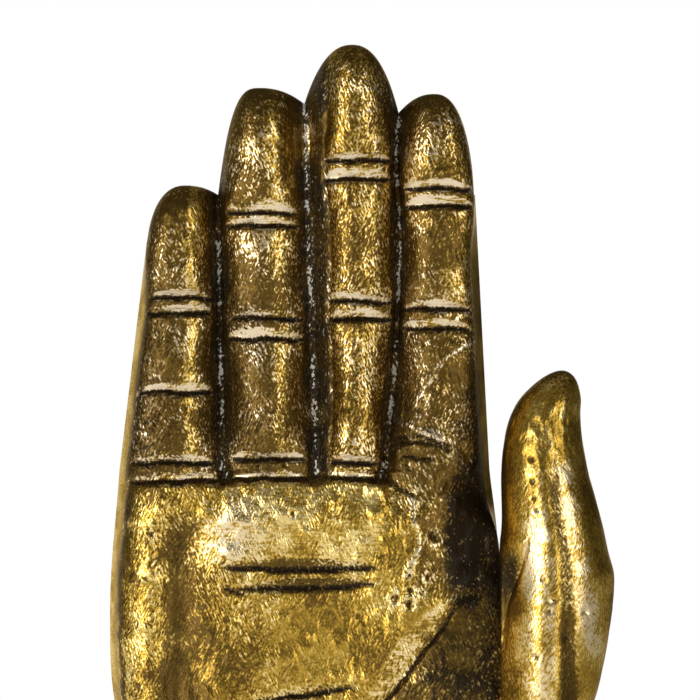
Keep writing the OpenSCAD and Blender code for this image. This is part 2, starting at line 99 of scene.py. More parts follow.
THUMB_D = 24.0
THUMB_Y = 13.5

# The fingers thin towards their tips at the back, where the nails slope down.
NAIL_FALL = 0.55
NAIL_FALL_LEN = 22.0
NAIL_FALL_POWER = 1.6

NOISE_LATTICE = 128
ROWS_SETTLE = 6.0


def mix(a, b, t):
    return a + (b - a) * t


def ramp(a, b, x):
    """0 below a, 1 above b and smooth between them."""
    t = np.clip((x - a) / (b - a), 0, 1)
    return t * t * (3 - 2 * t)


def fall(a, b, x):
    """1 below a, 0 above b and smooth between them."""
    return 1 - ramp(a, b, x)


def span(rise, drop, x):
    """1 between two slopes: rise = (foot, top) and drop = (top, foot)."""
    return ramp(*rise, x) * fall(*drop, x)


def most(*values):
    """The largest of the values at each point."""
    return functools.reduce(np.maximum, values)


def bell(x, width):
    return np.exp(-((x / width) ** 2))


def uneven_bell(x, middle, width_below, width_above):
    return bell(x - middle, np.where(x < middle, width_below, width_above))


def spot(x, h, centre, reach):
    """Round patch that fades away from its centre over its reach across and up."""
    return bell(np.hypot((x - centre[0]) / reach[0], (h - centre[1]) / reach[1]), 1)


def arch(s, power):
    return most(0, 1 - np.abs(s) ** power) ** (1 / power)


def unit(x):
    return np.clip(x, 0, 1)


def curve(points, x):
    """Smooth curve through a list of (position, value) points."""
    px, py = np.array(points, float).T
    left = most(np.arange(len(px)) - 1, 0)
    right = np.minimum(np.arange(len(px)) + 1, len(px) - 1)
    slope = (py[right] - py[left]) / (px[right] - px[left])
    i = np.clip(np.searchsorted(px, x, side="right") - 1, 0, len(px) - 2)
    d = px[i + 1] - px[i]
    t = unit((x - px[i]) / d)
    bend = slope[i] * d * t * (1 - t) ** 2 - slope[i + 1] * d * t * t * (1 - t)
    return mix(py[i], py[i + 1], ramp(0, 1, t)) + bend


def noise(x, h, cell, seed):
    """Smooth noise from -1 to 1 on a seeded lattice of cells, cell = (width, height) in millimetres."""
    table = np.random.default_rng(seed).uniform(-1, 1, (NOISE_LATTICE, NOISE_LATTICE))
    gx = x / cell[0]
    gh = h / cell[1]
    ix = np.floor(gx).astype(int)
    ih = np.floor(gh).astype(int)
    fx = ramp(0, 1, gx - ix)
    fh = ramp(0, 1, gh - ih)

    def at(a, b):
        return table[(ix + a) % NOISE_LATTICE, (ih + b) % NOISE_LATTICE]

    return mix(mix(at(0, 0), at(1, 0), fx), mix(at(0, 1), at(1, 1), fx), fh)


def waver(x, width, seed):
    """Noise that changes across the hand only."""
    return noise(x, 0 * x, (width, 1), seed)


def along(x, h, start, end):
    """Place along the line from start to end, from 0 to 1, and distance above it."""
    dx = end[0] - start[0]
    dh = end[1] - start[1]
    length = math.hypot(dx, dh)
    w = ((x - start[0]) * dx + (h - start[1]) * dh) / length**2
    above = ((h - start[1]) * dx - (x - start[0]) * dh) / length
    return w, above if dx > 0 else -above


# Outline of the hand in the seam, as places across at heights.
LEFT_OUTLINE = [
    (0, -WRIST_W / 2),
    (WRIST_STRAIGHT, -WRIST_W / 2),
    (HEEL_H - HEEL_LEN, EDGE_ROOT[LITTLE]),
    (HEEL_H, -HEEL_X),
    (PALM_H, EDGE_ROOT[LITTLE]),
]
RIGHT_OUTLINE = [
    (0, WRIST_W / 2),
    (WRIST_STRAIGHT, WRIST_W / 2),
    (THUMB_ROOT_H, JOINT_X + JOINT_CUT),
    (JOINT_TOP, JOINT_X + JOINT_CUT),
    (PALM_H, EDGE_ROOT[RIGHT_SIDE]),
]
# How far the groove beside the first finger wanders from its straight line, at heights.
FIRST_GROOVE = [(PALM_H, 0), (116, 0.9), (125, 1.2), (143, 1.0), (152, 0.5), (161, -0.6), (172, -0.6)]


def edge_x(i, h):
    """Place of the edge left of finger i at height h, or of the hand's right side."""
    finger = EDGE_ROOT[i] + EDGE_LEAN[i] * (h - PALM_H)
    if i == LITTLE:
        return np.where(h > PALM_H, finger, curve(LEFT_OUTLINE, h))
    if i == FIRST:
        return finger + curve(FIRST_GROOVE, h)
    if i == RIGHT_SIDE:
        return np.where(h > PALM_H, finger, np.minimum(JOINT_X, curve(RIGHT_OUTLINE, h)))
    return finger


def finger_middle(i, h):
    return (edge_x(i, h) + edge_x(i + 1, h)) / 2


def on_outside(finger, s):
    """The half of the little and the first finger that has no groove beside it."""
    return (finger == LITTLE) & (s < 0) | (finger == FIRST) & (s > 0)


def at_joint(h):
    low, high = JOINT_FADE
    return span((THUMB_ROOT_H - low, THUMB_ROOT_H), (JOINT_TOP, JOINT_TOP + high), h)


def draft_below(top, h):
    return mix(TIP_DRAFT, SIDE_DRAFT, ramp(0, DRAFT_FADE, PALM_H + top - h))


def left_inset(h):
    return draft_below(EDGE_TOP[LITTLE], h)


def right_inset(h):
    return draft_below(EDGE_TOP[RIGHT_SIDE], h) * (1 - at_joint(h))


def top_h(i, s):
    """Height of the outline's top in finger i, s from -1 to 1 across it."""
    drop = FINGER_LEN[i] - np.where(s < 0, EDGE_TOP[i], EDGE_TOP[i + 1])
    tip = PALM_H + FINGER_LEN[i]
    room = edge_x(i + 1, tip) - edge_x(i, tip)
    fullness = most(TIP_ROUNDEST, 1 + TIP_FULLNESS * drop / room)
    return tip - drop * np.where(on_outside(i, s), 1 - arch(s, OUTER_TIP_POWER), np.abs(s) ** fullness)


class Skin:
    """Grid of points over the front or the back of the hand: columns from side to side, rows from the
    wrist over the fingertips. The first and last columns and the last row lie on the outline."""

    def __init__(self, per_finger, band, heights):
        q = np.linspace(-1, 1, per_finger + 1)
        across = 0.6 * q + 0.4 * np.sin(q * math.pi / 2)
        finger = []
        s = []
        for i in FINGERS:
            own = across if i == LITTLE else across[1:]
            finger += [i] * len(own)
            s += list(own)
        b = np.linspace(0, 1, band + 1)[:-1]
        self.finger = np.array([LITTLE] * band + finger + [FIRST] * band)[:, None]
        self.s = np.array([-1.0] * band + s + [1.0] * band)[:, None]
        self.share = np.concatenate([b, np.ones(len(s)), b[::-1]])[:, None]
        self.side = np.array([-1] * band + [0] * len(s) + [1] * band)[:, None]
        self.body = self.side == 0
        self.outer = on_outside(self.finger, self.s)
        self.place_rows(np.array(heights))
        self.place_columns()

    def place_rows(self, level):
        """Rows keep their own height up to a little below each column's top, and then go over it."""
        top = np.concatenate([top_h(i, self.s[self.finger[:, 0] == i, 0]) for i in FINGERS])
        straight = top - TIP_ROUND
        length = straight + TIP_ARC * TIP_ROUND
        start = straight - ROWS_SETTLE
        k = np.arange(len(level))
        k_start = np.interp(start, level, k)
        rest = (k[None] - k_start[:, None]) / (k[-1] - k_start)[:, None]
        arc = np.where(rest < 0, level[None], start[:, None] + rest * (length - start)[:, None])
        turn = unit((arc - straight[:, None]) / (length - straight)[:, None]) * math.pi / 2
        over = top[:, None] - TIP_ROUND * (1 - np.sin(turn))
        self.h = np.where(turn > 0, over, arc)
        self.cos_turn = np.cos(turn) ** TIP_SQUARE
        self.top = top[:, None]

    def place_columns(self):
        """Columns share out the palm, and above it each finger between its edges."""
        h = self.h
        part = (self.s + 1) / 2
        root = mix(EDGE_ROOT[self.finger], EDGE_ROOT[self.finger + 1], part)
        self.u = (root - EDGE_ROOT[LITTLE]) / (EDGE_ROOT[RIGHT_SIDE] - EDGE_ROOT[LITTLE])
        left = edge_x(LITTLE, h) + left_inset(h)
        right = edge_x(RIGHT_SIDE, h) - right_inset(h)
        edges = np.stack([left, edge_x(RING, h), edge_x(MIDDLE, h), edge_x(FIRST, h), right])
        own = self.finger[None] + np.zeros_like(h, int)[None]
        near = np.take_along_axis(edges, own, 0)[0]
        far = np.take_along_axis(edges, own + 1, 0)[0]
        self.half_w = (far - near) / 2
        x = np.where(h <= PALM_H, mix(left, right, self.u), mix(near, far, part))
        x = np.where(self.side < 0, edge_x(LITTLE, h) + self.share * left_inset(h), x)
        self.x = np.where(self.side > 0, edge_x(RIGHT_SIDE, h) - self.share * right_inset(h), x)

    def points(self, depth, out):
        """Points in metres; depth is from the seam, out is -1 for the front and 1 for the back. One more
        row closes the wrist's cut down to the seam."""
        y = out * depth * self.share * self.cos_turn
        grid = np.stack([self.x, y, self.h + WRIST_Z], -1)
        cut = grid[:, :1].copy()
        cut[..., 1] = 0
        return np.concatenate([cut, grid], 1) * MM


def row_heights(*stretches):
    """Heights of rows, from stretches of (top, number of rows)."""
    heights = [0.0]
    for top, count in stretches:
        heights += list(np.linspace(heights[-1], top, count + 1)[1:])
    return heights


# Chased lines on the fingers: finger, height, slope to the right, depth and height of the flat above it.
CREASES = [
    (LITTLE, 135.5, 0.0, 1.2, 1.3), (LITTLE, 132.6, 0.01, 1.3, 1.8), (LITTLE, 116.9, 0.0, 1.3, 1.8),
    (LITTLE, 103.1, 0.01, 1.2, 1.7), (LITTLE, 99.3, 0.02, 1.3, 2.0), (RING, 152.3, -0.02, 1.1, 2.3),
    (RING, 149.8, 0.0, 1.3, 1.8), (RING, 131.5, -0.01, 1.2, 1.5), (RING, 127.4, -0.01, 1.3, 2.0),
    (RING, 103.8, 0.0, 1.1, 1.6), (RING, 99.9, 0.01, 1.0, 1.5), (MIDDLE, 162.5, 0.02, 1.1, 1.5),
    (MIDDLE, 158.8, 0.03, 1.5, 2.1), (MIDDLE, 134.8, -0.01, 1.2, 1.8), (MIDDLE, 131.4, -0.01, 1.3, 1.9),
    (MIDDLE, 103.1, -0.01, 1.1, 1.5), (MIDDLE, 99.9, 0.0, 0.9, 1.4), (FIRST, 157.0, 0.0, 1.1, 1.7),
    (FIRST, 153.7, 0.0, 1.4, 2.0), (FIRST, 133.3, -0.01, 1.2, 1.7), (FIRST, 129.5, -0.02, 1.3, 2.0),
]
CREASE_CUT = 0.8
CREASE_BELOW = 1.0
CREASE_REACH = 1.12
CREASE_SAG = 0.4
# The finger is waisted round a chased line, broader beside it and calmer just above it.
CREASE_DIP = 0.33
CREASE_DIP_H = 4.5
CREASE_KNOT_H = 5.5
CREASE_CALM = 0.75
CREASE_CALM_H = 2.0
# Lines in the palm: start, end, depth, width above, width below and how brown the upper side is.
PALM_LINES = [
    ((-22.5, 82.3), (9.5, 82.2), 0.9, 2.3, 1.2, 0.42),
    ((-19.8, 78.2), (8.8, 79.0), 0.9, 2.1, 1.2, 0.42),
    ((-22.6, 78.2), (-16.8, 77.0), 0.5, 1.0, 0.7, 0.5),
    ((-18.0, 55.6), (5.0, 59.0), 0.8, 1.8, 0.9, 0.3),
    ((7.0, 52.0), (25.5, 77.0), 1.5, 5.5, 0.8, 0.0),
]
# Thin raised seams and lumps left by the casting: a chain of points, height and width.
RIDGES = [
    ([(27.0, 126.6), (22.0, 123.6), (18.8, 119.5), (15.6, 114.4)], 0.3, 0.5),
    ([(12.0, 111.4), (16.0, 109.0), (21.5, 106.9)], 0.5, 1.1),
    ([(14.6, 96.0), (15.9, 91.0), (16.4, 86.0), (14.0, 80.0)], 0.3, 0.7),
]
RIDGE_ENDS = ((-0.12, 0.03), (0.97, 1.12))
# Cracks along the braze between the finger roots and the thumb's web.
CRACKS = [
    [(9.6, 104.0), (9.8, 100.6), (12.6, 98.0), (15.6, 96.2)],
    [(12.0, 107.6), (17.0, 107.9), (23.0, 105.9)],
    [(12.4, 106.8), (17.0, 107.1), (22.8, 105.2)],
    [(13.2, 104.2), (19.5, 103.4)],
]
CRACK_W = 0.4
CRACK_DEPTH = 0.5
CRACK_ENDS = ((-0.1, 0.05), (0.95, 1.1))
# Single pores: place across, height, radius and depth.
PORES = [
    (11.8, 76.2, 0.75, 0.9), (14.8, 77.8, 0.65, 0.7), (14.6, 75.2, 0.8, 0.8), (17.0, 77.4, 0.5, 0.5),
    (18.2, 80.5, 0.55, 0.5), (19.5, 88.2, 0.9, 0.8), (-15.0, 102.0, 0.5, 0.5), (-10.0, 102.4, 0.6, 0.5),
    (-8.2, 93.0, 0.6, 0.4), (14.6, 81.0, 0.45, 0.4), (-36.0, 89.0, 0.5, 0.4), (-35.0, 83.0, 0.4, 0.4),
]
# Shares of each finger's half width, left and right, that its gently round crown takes up.
CROWN_REACH = np.array(((0.86, 0.74), (0.75, 0.73), (0.54, 0.78), (0.77, 0.8)))
CROWN_REACH_MOST = 0.9
CROWN_EDGE = 0.52
OUTER_SQUARE = 2.8
# Heights in millimetres of the sand-cast lumps, streaks and grain.
SAND_LUMP = 0.28
SAND_STREAK = 0.11
SAND_GRAIN = 0.05

# The web between the first finger and the thumb: its place across, its reach, and its height.
WEB_X = 28.0
WEB_REACH = 7.5
WEB_H = 89.0
WEB_DEPTH = 4.5
VALLEY_X = -31.0
CREST_X = -38.0
CREST_W = 3.6
# The brazed seam between the palm and the first finger's root, as places across at heights.
SEAM = [(78, 15), (90, 15.8), (97, 14), (102, 10)]
# A point on the line along the thumb's root, and the way across that line.
THENAR_AT = (24, 75)
THENAR_ACROSS = (0.8, -0.6)

# Patches of the palm's half: place across and height, and reach across and up.
BRAZED_ROOT = ((17, 100), (14, 20))
TIP_BRAZE = ((-4.6, 167), (1.7, 4.2))
LITTLE_POCKET = ((-35, 97), (6, 3.5))
WEB_CORNER = ((26.5, 76), (4.5, 2.4))
WEB_BUMP = ((29.7, 82.5), (1.6, 4.5))
# A painted highlight where the plateau's left edge faces the left lamp, and the cream it takes.
PLATEAU_HIGHLIGHT = ((-21, 88), (6, 7))
CREAM_HIGH = ((-21, 88), (7, 8))
CREAM_LOW = ((-19, 66), (6, 6))

# How brown each finger is, how much darker its left side is as painted shade (its right side where
# negative), and how bright its painted highlight streak is, a golden streak where the right lamp is
# reflected.
FINGER_BROWN = (0.52, 0.54, 0.14, 0.4)
FINGER_SHADE_LEFT = (0.15, 0.14, -0.08, 0.2)
PAINTED_HIGHLIGHT = (1.0, 0.7, 0.4, 0.3)
PAINTED_HIGHLIGHT_AT = 0.3
PAINTED_HIGHLIGHT_W = 0.17


def by_the_web(x):
    """1 along the hand's right side, fading away towards the palm."""
    return bell(most(WEB_X - x, 0), WEB_REACH)


def palm_depth(skin):
    """Front of the palm without its chased lines."""
    x = skin.x
    h = skin.h
    u = skin.u
    left = 1 - np.minimum(u / 0.12, 1)
    right = (1 - np.minimum((1 - u) / 0.16, 1)) * (1 - at_joint(h))
    roll = np.sqrt(1 - left**2) * np.sqrt(1 - right**2)
    web = by_the_web(x) * uneven_bell(h, WEB_H, 14, 17)
    thenar = bell(u - 0.94, 0.2) * bell(h - 50, 24)
    heel = bell(u - 0.2, 0.16) * bell(h - 32, 18)
    valley = uneven_bell(x, VALLEY_X, 3.6, 6.5) * span((40, 60), (88, 99), h)
    turn_in = ramp(PALM_H - 10, PALM_H, h)
    hollow = bell(x + 2, 19) * span((40, 56), (70, 100), h)
    palm = SIDE_FRONT + (PALM_FRONT - SIDE_FRONT) * roll
    palm += 3.2 * thenar + 3 * heel - 2.1 * valley - 1.5 * hollow - 1.6 * turn_in
    palm -= np.minimum(WEB_DEPTH, 0.6 * palm) * web
    oval = SIDE_FRONT + (WRIST_FRONT - SIDE_FRONT) * arch(2 * u - 1, 2.2)
    return mix(oval, palm, ramp(*WRIST_TURN, h))


def finger_share(skin):
    """0 in the palm and 1 in the fingers. The turn is sharp under three of the fingers, where a line is
    chased round their roots, and long under the first finger."""
    line = PALM_H - 1.2 - 0.5 * (skin.finger == LITTLE) - 0.5 * skin.s**2 + 0.4 * waver(skin.x, 4, 23)
    sharp = ramp(line - 1.1, line + 1.1, skin.h)
    long = ramp(PALM_H - 13, PALM_H + 6, skin.h)
    return mix(sharp, long, np.where(skin.finger == FIRST, ramp(-1, -0.7, skin.s), 0))


def finger_sections(skin, to_finger):
    """Round crowns with grooves between them, which turn into the palm below: their depth, how far across
    its crown each point is, and how calm the skin is above the chased lines."""
    h = skin.h
    s = skin.s
    swell = np.zeros_like(h)
    knot = np.zeros_like(h)
    calm = np.ones_like(h)
    for i, level, _, _, _ in CREASES:
        own = skin.finger == i
        swell -= own * CREASE_DIP * bell(h - level, CREASE_DIP_H)
        knot = most(knot, own * bell(h - level, CREASE_KNOT_H))
        calm = np.minimum(calm, 1 - CREASE_CALM * own * bell(h - level - 1, CREASE_CALM_H))
    swell += 0.5 * bell(h - skin.top + 15, 8) + 1.2 * fall(PALM_H, PALM_H + 26, h)
    crown = GROOVE_FRONT + FINGER_FRONT + swell
    reach = CROWN_REACH[skin.finger, (s > 0).astype(int)]
    reach = np.minimum(reach * (0.94 + 0.14 * knot), CROWN_REACH_MOST)
    over = np.abs(s) / reach
    crown_share = np.sqrt(1 - (1 - CROWN_EDGE**2) * np.minimum(over, 1) ** 2)
    flank_share = CROWN_EDGE * fall(reach, 1 - GROOVE_FLAT / skin.half_w, np.abs(s))
    floor = mix(GROOVE_ROOT, GROOVE_FRONT, ramp(*GROOVE_ROOT_H, h))
    inner_section = mix(floor, crown, np.where(over < 1, crown_share, flank_share))
    outer_section = mix(SIDE_FRONT, crown, arch(s, OUTER_SQUARE))
    fingers = np.where(skin.outer, outer_section, inner_section)
    return mix(palm_depth(skin), fingers, to_finger), over, calm


def stripes(x, h, chain, ragged, width, ends):
    """A stripe along each step of a chain of points."""
    for start, end in zip(chain, chain[1:]):
        w, above = along(x, h, start, end)
        yield bell(above + ragged, width) * span(*ends, w)


def front_relief(skin):
    """Depth of the palm's half in front of the seam, and the values that its finish goes by."""
    x = skin.x
    h = skin.h
    to_finger = finger_share(skin)
    smooth, over, calm = finger_sections(skin, to_finger)
    dark = np.zeros_like(h)
    rub_and_highlight = np.zeros_like(h)
    filing_and_highlight = np.zeros_like(h)

    # Sand-cast skin: lumps, streaks along the fingers and a finer grain.
    wander = 2.5 * noise(x, h, (9, 9), 3)
    lumps = noise(x, h, (2.6, 3.4), 11) + 0.7 * noise(x + wander, h, (1.3, 1.9), 12)
    streaks = noise(x + 0.35 * h * np.sign(skin.s), h, (0.9, 3.2), 13)
    grain = noise(x, h, (0.7, 0.9), 14)
    bumps = SAND_LUMP * lumps * (1 + spot(x, h, *BRAZED_ROOT))
    bumps += SAND_STREAK * streaks * to_finger + SAND_GRAIN * grain
    depth = smooth + skin.body * calm * mix(0.35, 1, ramp(0, 3, skin.top - h)) * bumps

    # Raised seams, and cracks along the braze.
    for chain, height, width in RIDGES:
        for on in stripes(x, h, chain, 0.3 * lumps, width, RIDGE_ENDS):
            depth = most(depth, smooth + height * on + 0.08 * lumps)
            rub_and_highlight = most(rub_and_highlight, on)
    for chain in CRACKS:
        for on in stripes(x, h, chain, 0.15 * lumps, CRACK_W, CRACK_ENDS):
            depth -= CRACK_DEPTH * on
            dark = most(dark, on)

    # Lines across the fingers: a flat that slopes in to a dark bottom with a steep lower side, worked with a
    # file and painted cream as a highlight too.
    reached = most(1 - (over / CREASE_REACH) ** 4, 0)
    for i, level, slope, cut, flat in CREASES:
        line = level + slope * (x - finger_middle(i, h)) - CREASE_SAG * skin.s**2
        q = h - line - 0.2 * waver(x, 2.8, int(level * 10))
        above = flat * mix(0.15, 1, reached) * (1 + 0.25 * waver(x, 3.4, int(level * 7)))
        side = np.where(q > 0, 1 - q / above, 1 + q / CREASE_BELOW)
        wedge = smooth - CREASE_CUT * cut * reached * side
        own = (skin.finger == i) & (over < CREASE_REACH) & (wedge < smooth)
        cut_by = np.where(own, most(depth - wedge, 0), 0)
        depth -= cut_by
        # The flat's cream is a painted highlight as well as file work.
        tone = 0.76 + 0.32 * noise(x, h, (3.2, 6), int(level * 3))
        filing_and_highlight = most(filing_and_highlight, ramp(0.02, 0.2, cut_by) * tone)
        dark = most(dark, ramp(0.1, 0.35, cut_by) * np.where(q > 0, bell(q, 0.3), 1))

    # Lines in the palm that taper towards both ends. One that isn't browned is rubbed bright in its cut,
    # which is a painted highlight too.
    for start, end, deep, wide_above, wide_below, browned in PALM_LINES:
        w, above = along(x, h, start, end)
        above = above + 0.3 * noise(x, h, (3, 3), 21)
        taper = unit(4 * w * (1 - w)) ** 0.7
        upper = 1 - above / (wide_above * mix(0.3, 1, taper))
        lower = 1 + above / (wide_below * mix(0.4, 1, taper))
        cut_by = deep * taper * most(np.where(above > 0, upper, lower), 0)
        depth -= cut_by
        shade = np.where(above > 0, mix(browned, 1, bell(above, 0.35)), 1)
        filing_and_highlight = most(filing_and_highlight, browned * ramp(0.02, 0.2, cut_by))
        dark = most(dark, ramp(0.05, 0.3, cut_by) * shade)
        rub_and_highlight = most(rub_and_highlight, 0.45 * (browned == 0) * ramp(0.05, 0.3, cut_by))

    for px, ph, radius, deep in PORES:
        apart = np.hypot(x - px, h - ph)
        on = bell(apart, radius)
        rim = bell(apart - 1.7 * radius, 0.5 * radius)
        depth += 0.2 * deep * rim - deep * on
        dark = most(dark, on)
        rub_and_highlight = most(rub_and_highlight, 0.5 * rim)
    return depth, (to_finger, over, lumps, grain, dark, rub_and_highlight, filing_and_highlight)


def front_finish(skin, to_finger, over, lumps, grain, dark, rub_and_highlight, filing_and_highlight):
    """Where the palm's half is dark, rubbed, rough and gold, and where painted shade, painted highlights and
    painted glints lie.
    """
    x = skin.x
    h = skin.h
    s = skin.s
    finger = skin.finger
    body = skin.body

    # Grooves between the fingers: black, with a broken pale line of painted glints along them and sparser
    # painted glints on their flanks.
    inner = np.where(skin.outer, 0, to_finger) * body
    to_groove = (1 - np.abs(s)) * skin.half_w
    beside_first = (finger == MIDDLE) & (s > 0) | (finger == FIRST) & (s < 0)
    braze = spot(x, h, *TIP_BRAZE)
    groove = (0.68 + 0.2 * lumps + 0.2 * bell(to_groove, 0.9)) * ramp(0.82, 1.12, over)
    groove *= inner * (1 - braze) * np.where(beside_first, 0.85, 1)
    broken = noise(0 * x, h, (1, 2.6), 24) + 0.6 * lumps
    thread = bell(to_groove + 0.2 * lumps, 0.5) * ramp(-0.7, 0.2, broken)
    silver = most(thread, 0.18 * ramp(0.95, 1.15, over)) * inner

    # Brown of the fingers, darker on one side as painted shade, and a golden painted highlight streak along
    # each of them where the right lamp is reflected.
    # Painted highlight: a golden streak right of each finger's middle.
    painted_highlight_streak = np.take(PAINTED_HIGHLIGHT, finger) * bell(s - PAINTED_HIGHLIGHT_AT + 0.08 * lumps, PAINTED_HIGHLIGHT_W)
    painted_highlight_streak *= to_finger * body
    # Painted shade makes each finger's brown darker on one side.
    finger_brown_and_shade = np.take(FINGER_BROWN, finger) + np.take(FINGER_SHADE_LEFT, finger) * np.clip(-s / 0.7, -1, 1)
    finger_brown_and_shade = most(finger_brown_and_shade, 0) * to_finger * (1 - 0.5 * ramp(132, 150, h))
    finger_brown_and_shade *= (1 - 0.85 * unit(filing_and_highlight)) * (1 - 0.9 * painted_highlight_streak)

    # Beside the thumb: its root, the web's corner and hollow, painted shade on the first finger's foot and
    # the brazed ground.
    past_line = THENAR_ACROSS[0] * (x - THENAR_AT[0]) + THENAR_ACROSS[1] * (h - THENAR_AT[1]) + lumps
    thenar = ramp(-1.5, 1.5, past_line) * span((18, 58), (76, 84), h)
    thenar *= 0.62 + 0.24 * ramp(0, 12, past_line) + 0.12 * lumps
    corner = (1.1 + 0.3 * lumps) * spot(x, h, *WEB_CORNER)
    # Painted shade on the first finger's foot, deepest on its side towards the thumb.
    under = (finger == FIRST) * to_finger * fall(116, 130, h)
    under *= 0.22 + 0.5 * ramp(20, 27, x) + 0.1 * lumps
    hollow = by_the_web(x) * uneven_bell(h, WEB_H - 1, 13.5, 18) * (1 - 0.6 * ramp(116, 122, h))
    hollow *= 1 - 0.55 * spot(x + 0.4 * lumps, h, *WEB_BUMP)
    hollow *= 1.75 + 0.35 * lumps + 0.2 * grain
    beyond = ramp(-1, 1.5, x - curve(SEAM, h) + 0.8 * lumps) * span((75, 79), (105, 112), h) * body
    ground = (0.46 + 0.1 * lumps) * beyond

    # On the little finger's side: black along the edge, painted shade in the valley, pits on the crest and a
    # pocket.
    edge = 0.75 * bell(x - edge_x(LITTLE, h) - left_inset(h) - 1.1 + 0.5 * lumps, 0.8)
    # Painted shade in the valley, which faces away from the left lamp.
    valley = (0.56 + 0.1 * lumps) * uneven_bell(x, VALLEY_X - 0.5, 3.2, 6) * fall(88, 98, h)
    pits = 0.6 * bell(x - CREST_X, CREST_W) * ramp(0.35, 0.9, lumps + grain) * fall(94, 99, h)
    pocket = 0.45 * spot(x, h, *LITTLE_POCKET) * (1 - to_finger)
    # stained gathers stains and patina, and also the painted shade in the valley and on the first finger's
    # foot.
    stained = most(finger_brown_and_shade, thenar, corner, under, hollow, ground, edge, valley, pits) * body
    tips = 0.08 * (1 - skin.cos_turn)
    dark = most(dark, groove, stained, pocket, tips, 0.2 * (skin.side > 0))

    # Rubbed, rough and golden places, with painted highlights among them: the plateau's left edge, the
    # chased lines' flats and the streak on each finger.
    ragged = 3 * noise(x, h, (5, 5), 22) + 1.5 * lumps
    plateau = span((-28, -18), (8, 18), x + ragged) * ramp(70, 90, h + ragged) * fall(98, 100, h)
    # Painted highlight on the plateau's left edge.
    plateau += spot(x, h, *PLATEAU_HIGHLIGHT)
    crest = bell(x - CREST_X + 0.4 * ragged, CREST_W) * fall(92, 99, h + ragged)
    band = np.where(skin.side < 0, 0.5, 0.1) * (1 - skin.share)
    facet = most(rub_and_highlight, filing_and_highlight)
    rub_and_highlight = most(facet, 0.32 * plateau, 0.3 * crest, band, 0.6 * braze, 0.22 * painted_highlight_streak) * (1 - unit(dark))
    coarse = body * (1 - 0.45 * filing_and_highlight) * mix(0.3, 1, ramp(0, 2.6, skin.top - h))
    coarse *= (1 + 0.8 * crest) * (1 + 0.5 * noise(x, h, (8, 8), 25)) * (1 - 0.3 * beyond)
    cream = most(spot(x, h, *CREAM_HIGH) + 0.6 * spot(x, h, *CREAM_LOW), facet)
    gold = most((1 - to_finger) * (1 - 0.8 * unit(cream)), 1 - body)
    gold = most(gold, 0.7 * painted_highlight_streak * (1 - unit(filing_and_highlight))) * (1 - 0.35 * beyond)
    return {"dark": dark, "rub_and_highlight": rub_and_highlight, "coarse": coarse, "silver": silver, "gold": gold}


# Back of the hand: joints as shares of a finger's length, and folds above and below each joint.
BACK_JOINTS = (0.36, 0.68)
BACK_FOLDS = (-1.5, 0.0, 1.5)
BACK_ROOT_H = (PALM_H - 16, PALM_H + 12)
NAIL_BELOW_TIP = 10.5
NAIL_HALF_LEN = 7.0
NAIL_SHARE = 0.56
KNUCKLE_H = PALM_H - 10
KNUCKLE_REACH = (6.5, 8.125)


def back_casting(skin):
    """Depth of the rear half behind the seam, a smoothed casting with knuckles, nails and shallow folds,
    and the masks of its finish."""
    x = skin.x
    h = skin.h
    middle = mix(WRIST_BACK, PALM_BACK, ramp(*WRIST_TURN, h))
    palm = SIDE_BACK + (middle - SIDE_BACK) * arch(2 * skin.u - 1, 2.6)
    across = np.minimum(np.abs(skin.s) / (1 - GROOVE_FLAT / skin.half_w), 1)
    fingers = GROOVE_BACK + FINGER_BACK * arch(across, 2.2)
    thinned = NAIL_FALL * most(1 - (skin.top - h) / NAIL_FALL_LEN, 0) ** NAIL_FALL_POWER
    to_finger = ramp(*BACK_ROOT_H, h)
    depth = mix(palm, fingers, to_finger) * (1 - thinned)
    dark = 0.85 * ramp(0.8, 0.98, np.abs(skin.s)) * to_finger * (skin.body & ~skin.outer)
    nails = np.zeros_like(h)
    raised = np.zeros_like(h)
    for i in FINGERS:
        own = (skin.finger == i) * skin.body
        from_middle = x - finger_middle(i, h)
        for share in BACK_JOINTS:
            level = PALM_H + FINGER_LEN[i] * share
            joint = own * bell(h - level, 4.0) * arch(across, 2.0)
            depth += 0.7 * joint
            raised = most(raised, joint)
            for step in BACK_FOLDS:
                bow = 0.05 * from_middle**2 * np.sign(step)
                fold = own * bell(h - level - step - bow, 0.35) * fall(0.45, 0.8, np.abs(skin.s))
                depth -= 0.35 * fold
                dark = most(dark, 0.7 * fold)
        up = h - PALM_H - FINGER_LEN[i] + NAIL_BELOW_TIP
        r = np.hypot(from_middle / (NAIL_SHARE * skin.half_w), up / NAIL_HALF_LEN)
        nail = own * fall(0.86, 1.0, r)
        rim = own * bell(r - 1.0, 0.07)
        depth += 0.4 * nail - 0.4 * rim
        dark = most(dark, 0.75 * rim)
        nails = most(nails, nail)
        root = (EDGE_ROOT[i] + EDGE_ROOT[i + 1]) / 2
        knuckle = spot(x, h, (root, KNUCKLE_H), KNUCKLE_REACH)
        tendon = bell(x - root * mix(0.65, 1, ramp(20, 90, h)), 2.6) * span((25, 45), (80, 92), h)
        depth += 1.3 * knuckle + 0.5 * tendon
        raised = most(raised, knuckle, 0.6 * tendon)
    lumps = noise(x, h, (3.2, 4.0), 31) + 0.5 * noise(x, h, (1.3, 1.6), 32)
    depth += skin.body * 0.06 * lumps * (1 - nails)
    dark = most(dark, 0.4 * (1 - skin.cos_turn))
    rub_and_highlight = (0.35 * raised + 0.25 * nails) * (1 - dark)
    coarse = (0.4 - 0.3 * nails) * skin.body
    return depth, {"dark": dark, "rub_and_highlight": rub_and_highlight, "coarse": coarse, "gold": 0.75 + 0 * h}


SKIN_SMOOTH = math.radians(60)
HARDWARE_SMOOTH = math.radians(35)
HARDWARE_EDGE = math.radians(40)
FLAT_ENOUGH = math.radians(2)
MASK_MOST = 1.2


def deselect():
    bpy.ops.object.select_all(action="DESELECT")


